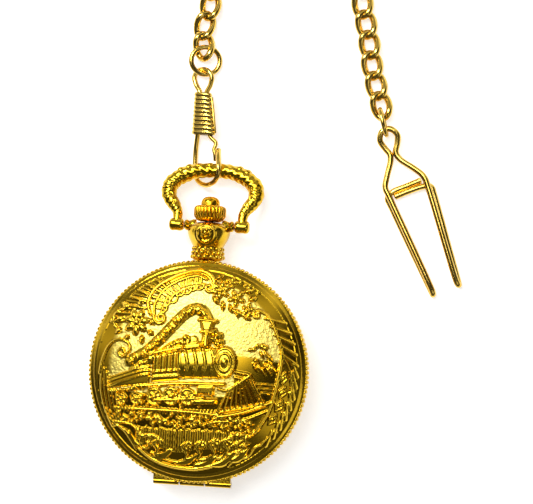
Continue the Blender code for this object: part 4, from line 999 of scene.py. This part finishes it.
def makePendant():
    lower = [(2.85, 23.25), (2.9, 23.8), (3.3, 24.0), (3.55, 24.3), (3.3, 24.65), (3.5, 25.0), (3.2, 25.4),
             (3.45, 25.8), (3.2, 26.2)]
    goblet = smoothPath([(3.2, 26.5), (3.35, 26.9), (3.8, 27.7), (4.3, 28.7), (4.6, 29.7), (4.62, 30.4), (4.3, 31.1),
                         (3.6, 31.7)], 5).tolist()
    top = [(2.7, 32.0), (1.6, 32.05), (1.3, 31.9), (1.3, 25.0), (2.25, 24.2), (2.25, 23.25)]
    outside = lower + goblet + top

    def medallion(row, angles):
        if not len(lower) <= row < len(lower) + len(goblet):
            return 0 * angles
        radius, height = outside[row]
        rise = height - neck["medallionY"]
        away = np.hypot(radius * np.sin(angles), 0.95 * rise)
        around = np.arctan2(rise, radius * np.sin(angles))
        petals = 0.16 * np.cos(5 * around) * np.exp(-((away - 0.7) / 0.5) ** 2)
        return np.clip(2.6 - away, 0, 0.5) * (0.3 * np.cos(2 * math.pi * away / 0.85) + 0.25) + petals

    shapes = [latheMesh(outside, 168, "y", (0, 0, neck["axisZ"]), medallion)]
    for sign in (-1, 1):
        ear = [(0, 2.6), (1.25, 2.9), (1.35, 3.4), (1.05, 4.1), (0.95, 4.4), (1.2, 4.85), (1.1, 5.2), (0.8, 5.42),
               (0, 5.45)]
        shapes.append(sideways(latheMesh(ear, 28), sign))
    for row, reach, count, size in ((24.6, 3.25, 15, 0.56), (25.5, 3.2, 15, 0.5), (26.35, 3.15, 15, 0.46)):
        for n in range(count):
            angle = 2 * math.pi * (n + 0.5 * (row > 25 and row < 26)) / count
            shapes.append(ballMesh((reach * math.sin(angle), row, neck["axisZ"] + reach * math.cos(angle)), size))
    points, faces = joined(*shapes)
    makePiece("pendantNeck", points, faces, goldPolished, "case", ("pendant",))


def makeBow():
    half = [(0, 12.5, 1.6), (2.6, 12.45, 1.6), (5.2, 11.9, 1.7), (7.6, 10.7, 1.75), (9.1, 9.3, 1.75), (9.6, 7.6, 1.7),
            (9.2, 5.9, 1.55), (8.1, 4.4, 1.38), (7.3, 3.0, 1.15), (7.1, 1.6, 1.05), (7.2, 0.2, 1.05)]
    outline = [(-u, v, r) for u, v, r in half[:0:-1]] + half
    cosD, sinD = math.cos(bow["droop"]), math.sin(bow["droop"])

    def placed(u, v, w=0.0):
        return (u, bow["pivotY"] + v * cosD + w * sinD, neck["axisZ"] - v * sinD + w * cosD)

    path = [(*placed(u, v), r) for u, v, r in smoothPath(outline, bow["fine"])]

    def leaves(n, count, angles):
        # small overlapping scales, fading out to plain wire near both ends
        s = abs(n / (count - 1) - 0.5) * 2
        strength = 0.04 * min(1, 5 * (0.95 - s)) if s < 0.95 else 0
        scales = np.sin(100 * s + 2.4 * np.cos(3 * angles)) + 0.6 * np.sin(41 * s - 2 * angles)
        return 1 + strength * scales

    shapes = [wireMesh(path, 1.0, bow["sides"], False, leaves)]
    for sign in (-1, 1):
        barrel = [(0, 5.6), (1.0, 5.6), (1.3, 5.9), (1.4, 6.4), (1.32, 7.2), (1.4, 8.0), (1.28, 8.45), (0.9, 8.72),
                  (0, 8.75)]
        shapes.append(sideways(latheMesh(barrel, 36), sign))
        # flower bosses on the shoulders, three a side
        for u, v, size in ((5.6, 12.9, 0.95), (7.3, 12.1, 1.05), (8.6, 11.0, 0.85), (1.0, 13.4, 0.95),
                           (10.5, 8.2, 0.7)):
            for w in (-0.8, 0.1, 0.9):
                middle = placed(sign * u, v - 0.2 * abs(w), w)
                shapes.append(ballMesh(middle, size * (1 - 0.2 * abs(w)), (1, 1, 0.9), 8, 14))
        # curled leaves on the front and back faces
        for u, v, size in ((3.4, 12.4, 0.75), (9.3, 8.4, 0.95), (8.9, 6.2, 0.7), (7.9, 4.6, 0.55)):
            for w in (-1.25, 1.25):
                ring = []
                for n in range(15):
                    angle, reach = 0.5 + 5.2 * n / 14, size * (1 - 0.55 * n / 14)
                    across, along = sign * (u + reach * math.cos(angle)), v + reach * math.sin(angle)
                    ring.append(placed(across, along, w * (1 + 0.1 * n / 14)))
                shapes.append(wireMesh(ring, 0.24, 8))
    points, faces = joined(*shapes)
    makePiece("leafBow", points, faces, goldPolished, "bow", ("bow",), sharpDeg=75)


makeCrown()
makePendant()
makeBow()
print("neck, crown and bow made")

# dial printing: plain numbers and minute marks, on the dial's body
dial = {"top": 8.0, "numberRadius": 15.6, "numberSize": 3.6, "trackRadius": 18.6}


def makeDialMarks():
    shapes = []
    for n in range(60):
        a = 2 * math.pi * n / 60
        long, wide = (1.4, 0.22) if n % 5 == 0 else (0.7, 0.09)
        out = np.array((math.sin(a), math.cos(a)))
        across = np.array((out[1], -out[0]))
        near, far = out * (dial["trackRadius"] - long), out * dial["trackRadius"]
        corners = [near - across * wide, near + across * wide, far + across * wide, far - across * wide]
        points = [(*c, z) for z in (dial["top"] - 0.02, dial["top"] + 0.03) for c in corners]
        walls = [(k, (k + 1) % 4, (k + 1) % 4 + 4, k + 4) for k in range(4)]
        shapes.append((points, [(3, 2, 1, 0), (4, 5, 6, 7)] + walls))
    points, faces = joined(*shapes)
    makePiece("minuteTrack", points, faces, handBlack, "case")
    for hour in range(1, 13):
        text = bpy.data.curves.new(f"number{hour}", "FONT")
        text.body = str(hour)
        text.size = dial["numberSize"]
        text.align_x, text.align_y = "CENTER", "CENTER"
        text.extrude = 0.02
        holder = newObject(f"numberText{hour}", text)
        bpy.context.view_layer.update()
        mesh = bpy.data.meshes.new_from_object(holder.evaluated_get(bpy.context.evaluated_depsgraph_get()))
        bpy.data.objects.remove(holder)
        a = 2 * math.pi * hour / 12
        place = (dial["numberRadius"] * math.sin(a), dial["numberRadius"] * math.cos(a), dial["top"] + 0.02)
        mesh.transform(Matrix.Scale(mm, 4) @ Matrix.Translation(place))
        mesh.materials.clear()
        mesh.materials.append(handBlack)
        settle(newObject(f"dialNumber{hour}", mesh), "case")


makeDialMarks()

# CAD pieces whose shape stays get their finish here
finishes = {
    goldPolished: ("front_cover", "mid_case", "bezel"),
    steelBright: ("hinge_pin", "lift_spring", "bow_screw_left", "bow_screw_right", "bridge_screw_1", "bridge_screw_2",
                  "battery", "battery_clamp", "stator", "latch_spring", "setting_stem", "setting_lever", "push_rod"),
    movementBrass: ("main_plate", "train_bridge", "centre_wheel", "hour_wheel", "seconds_wheel", "minute_wheel",
                    "third_wheel", "fifth_wheel", "rotor"),
    crystalGlass: ("crystal",), dialEnamel: ("dial",), holderPlastic: ("movement_holder",),
    boardGreen: ("circuit_board",), copperWinding: ("drive_coil",),
    handBlack: ("hour_hand", "minute_hand", "second_hand")}
for material, names in finishes.items():
    for name in names:
        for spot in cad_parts[name].material_slots:
            spot.material = material
print("finishes given")

# floor and light
studio = {"floorSize": 4000.0, "floorColor": (0.80, 0.80, 0.79, 1), "floorGlow": 0.62,
          "keyPower": 1.7, "keySize": 130, "keyPlace": (-190, 260, 420), "keyAim": (0, 10, 0),
          "fillPower": 0.12, "fillSize": 200, "fillPlace": (230, -120, 360), "fillAim": (10, 20, 0),
          "skyToward": (-0.32, 0.86, 0.40), "bright": 1.2, "dark": 0.11,
          "boxToward": (-0.07, 0.27, 0.96), "softBox": 6.0,
          "shadeToward": (0.20, -0.10, 0.974), "shadeKeeps": 0.12, "backdrop": (0.93, 0.93, 0.92, 1)}


def makeFloor():
    half = studio["floorSize"] / 2 * mm
    mesh = bpy.data.meshes.new("paleFloor")
    mesh.from_pydata([(-half, -half, 0), (half, -half, 0), (half, half, 0), (-half, half, 0)], [], [(0, 1, 2, 3)])
    floor = newObject("paleFloor", mesh)
    floor.location.z = -0.0001
    made, tree, shader = newMaterial("paleFloor")
    fill(tree, shader, {"Base Color": studio["floorColor"], "Roughness": 0.9, "Emission Color": (1, 1, 1, 1),
                        "Emission Strength": studio["floorGlow"]})
    mesh.materials.append(made)


def makeRoom():
    # bright above and to the upper left, darker low towards the viewer's side
    world = bpy.data.worlds.new("studioWorld")
    world.use_nodes = True
    tree = world.node_tree
    coords = newNode(tree, "ShaderNodeTexCoord").outputs["Generated"]

    def facing(direction):
        sockets = {0: coords, 1: studio[direction]}
        return newNode(tree, "ShaderNodeVectorMath", sockets, operation="DOT_PRODUCT").outputs["Value"]

    stops = ((0.0, studio["dark"]), (0.20, 0.05), (0.34, 0.03), (0.49, 0.16), (0.63, studio["bright"]), (0.80, 0.16),
             (1.0, 0.55))
    sky = colorsBetween(tree, facing("skyToward"), [(place, (value, value, value * 0.97)) for place, value in stops])
    # a soft box high above the crown, and a dark patch where the viewer stands
    box = between(tree, facing("boxToward"), 0.0, studio["softBox"], 0.962, 0.985)
    keep = between(tree, facing("shadeToward"), 1.0, studio["shadeKeeps"], 0.972, 0.990)
    total = newNode(tree, "ShaderNodeVectorMath", {0: sky, 1: box}, operation="ADD").outputs["Vector"]
    shaded = newNode(tree, "ShaderNodeVectorMath", operation="SCALE")
    fill(tree, shaded, {"Vector": total, "Scale": keep})
    room = fill(tree, tree.nodes["Background"], {"Color": shaded.outputs["Vector"]})
    # plain pale backdrop wherever the room itself is seen
    backdrop = newNode(tree, "ShaderNodeBackground", {"Color": studio["backdrop"]})
    seen = newNode(tree, "ShaderNodeLightPath").outputs["Is Camera Ray"]
    choice = newNode(tree, "ShaderNodeMixShader", {"Fac": seen, 1: room.outputs["Background"],
                                                   2: backdrop.outputs["Background"]})
    fill(tree, tree.nodes["World Output"], {"Surface": choice.outputs["Shader"]})
    bpy.context.scene.world = world


def makeLights():
    for name in ("key", "fill"):
        data = bpy.data.lights.new(name + "Light", "AREA")
        data.size, data.energy = studio[name + "Size"] * mm, studio[name + "Power"]
        lamp = newObject(name + "Light", data)
        place, aim = Vector(studio[name + "Place"]), Vector(studio[name + "Aim"])
        lamp.location = place * mm
        lamp.rotation_euler = (aim - place).to_track_quat("-Z", "Y").to_euler()


makeFloor()
makeRoom()
makeLights()
print("studio lit")
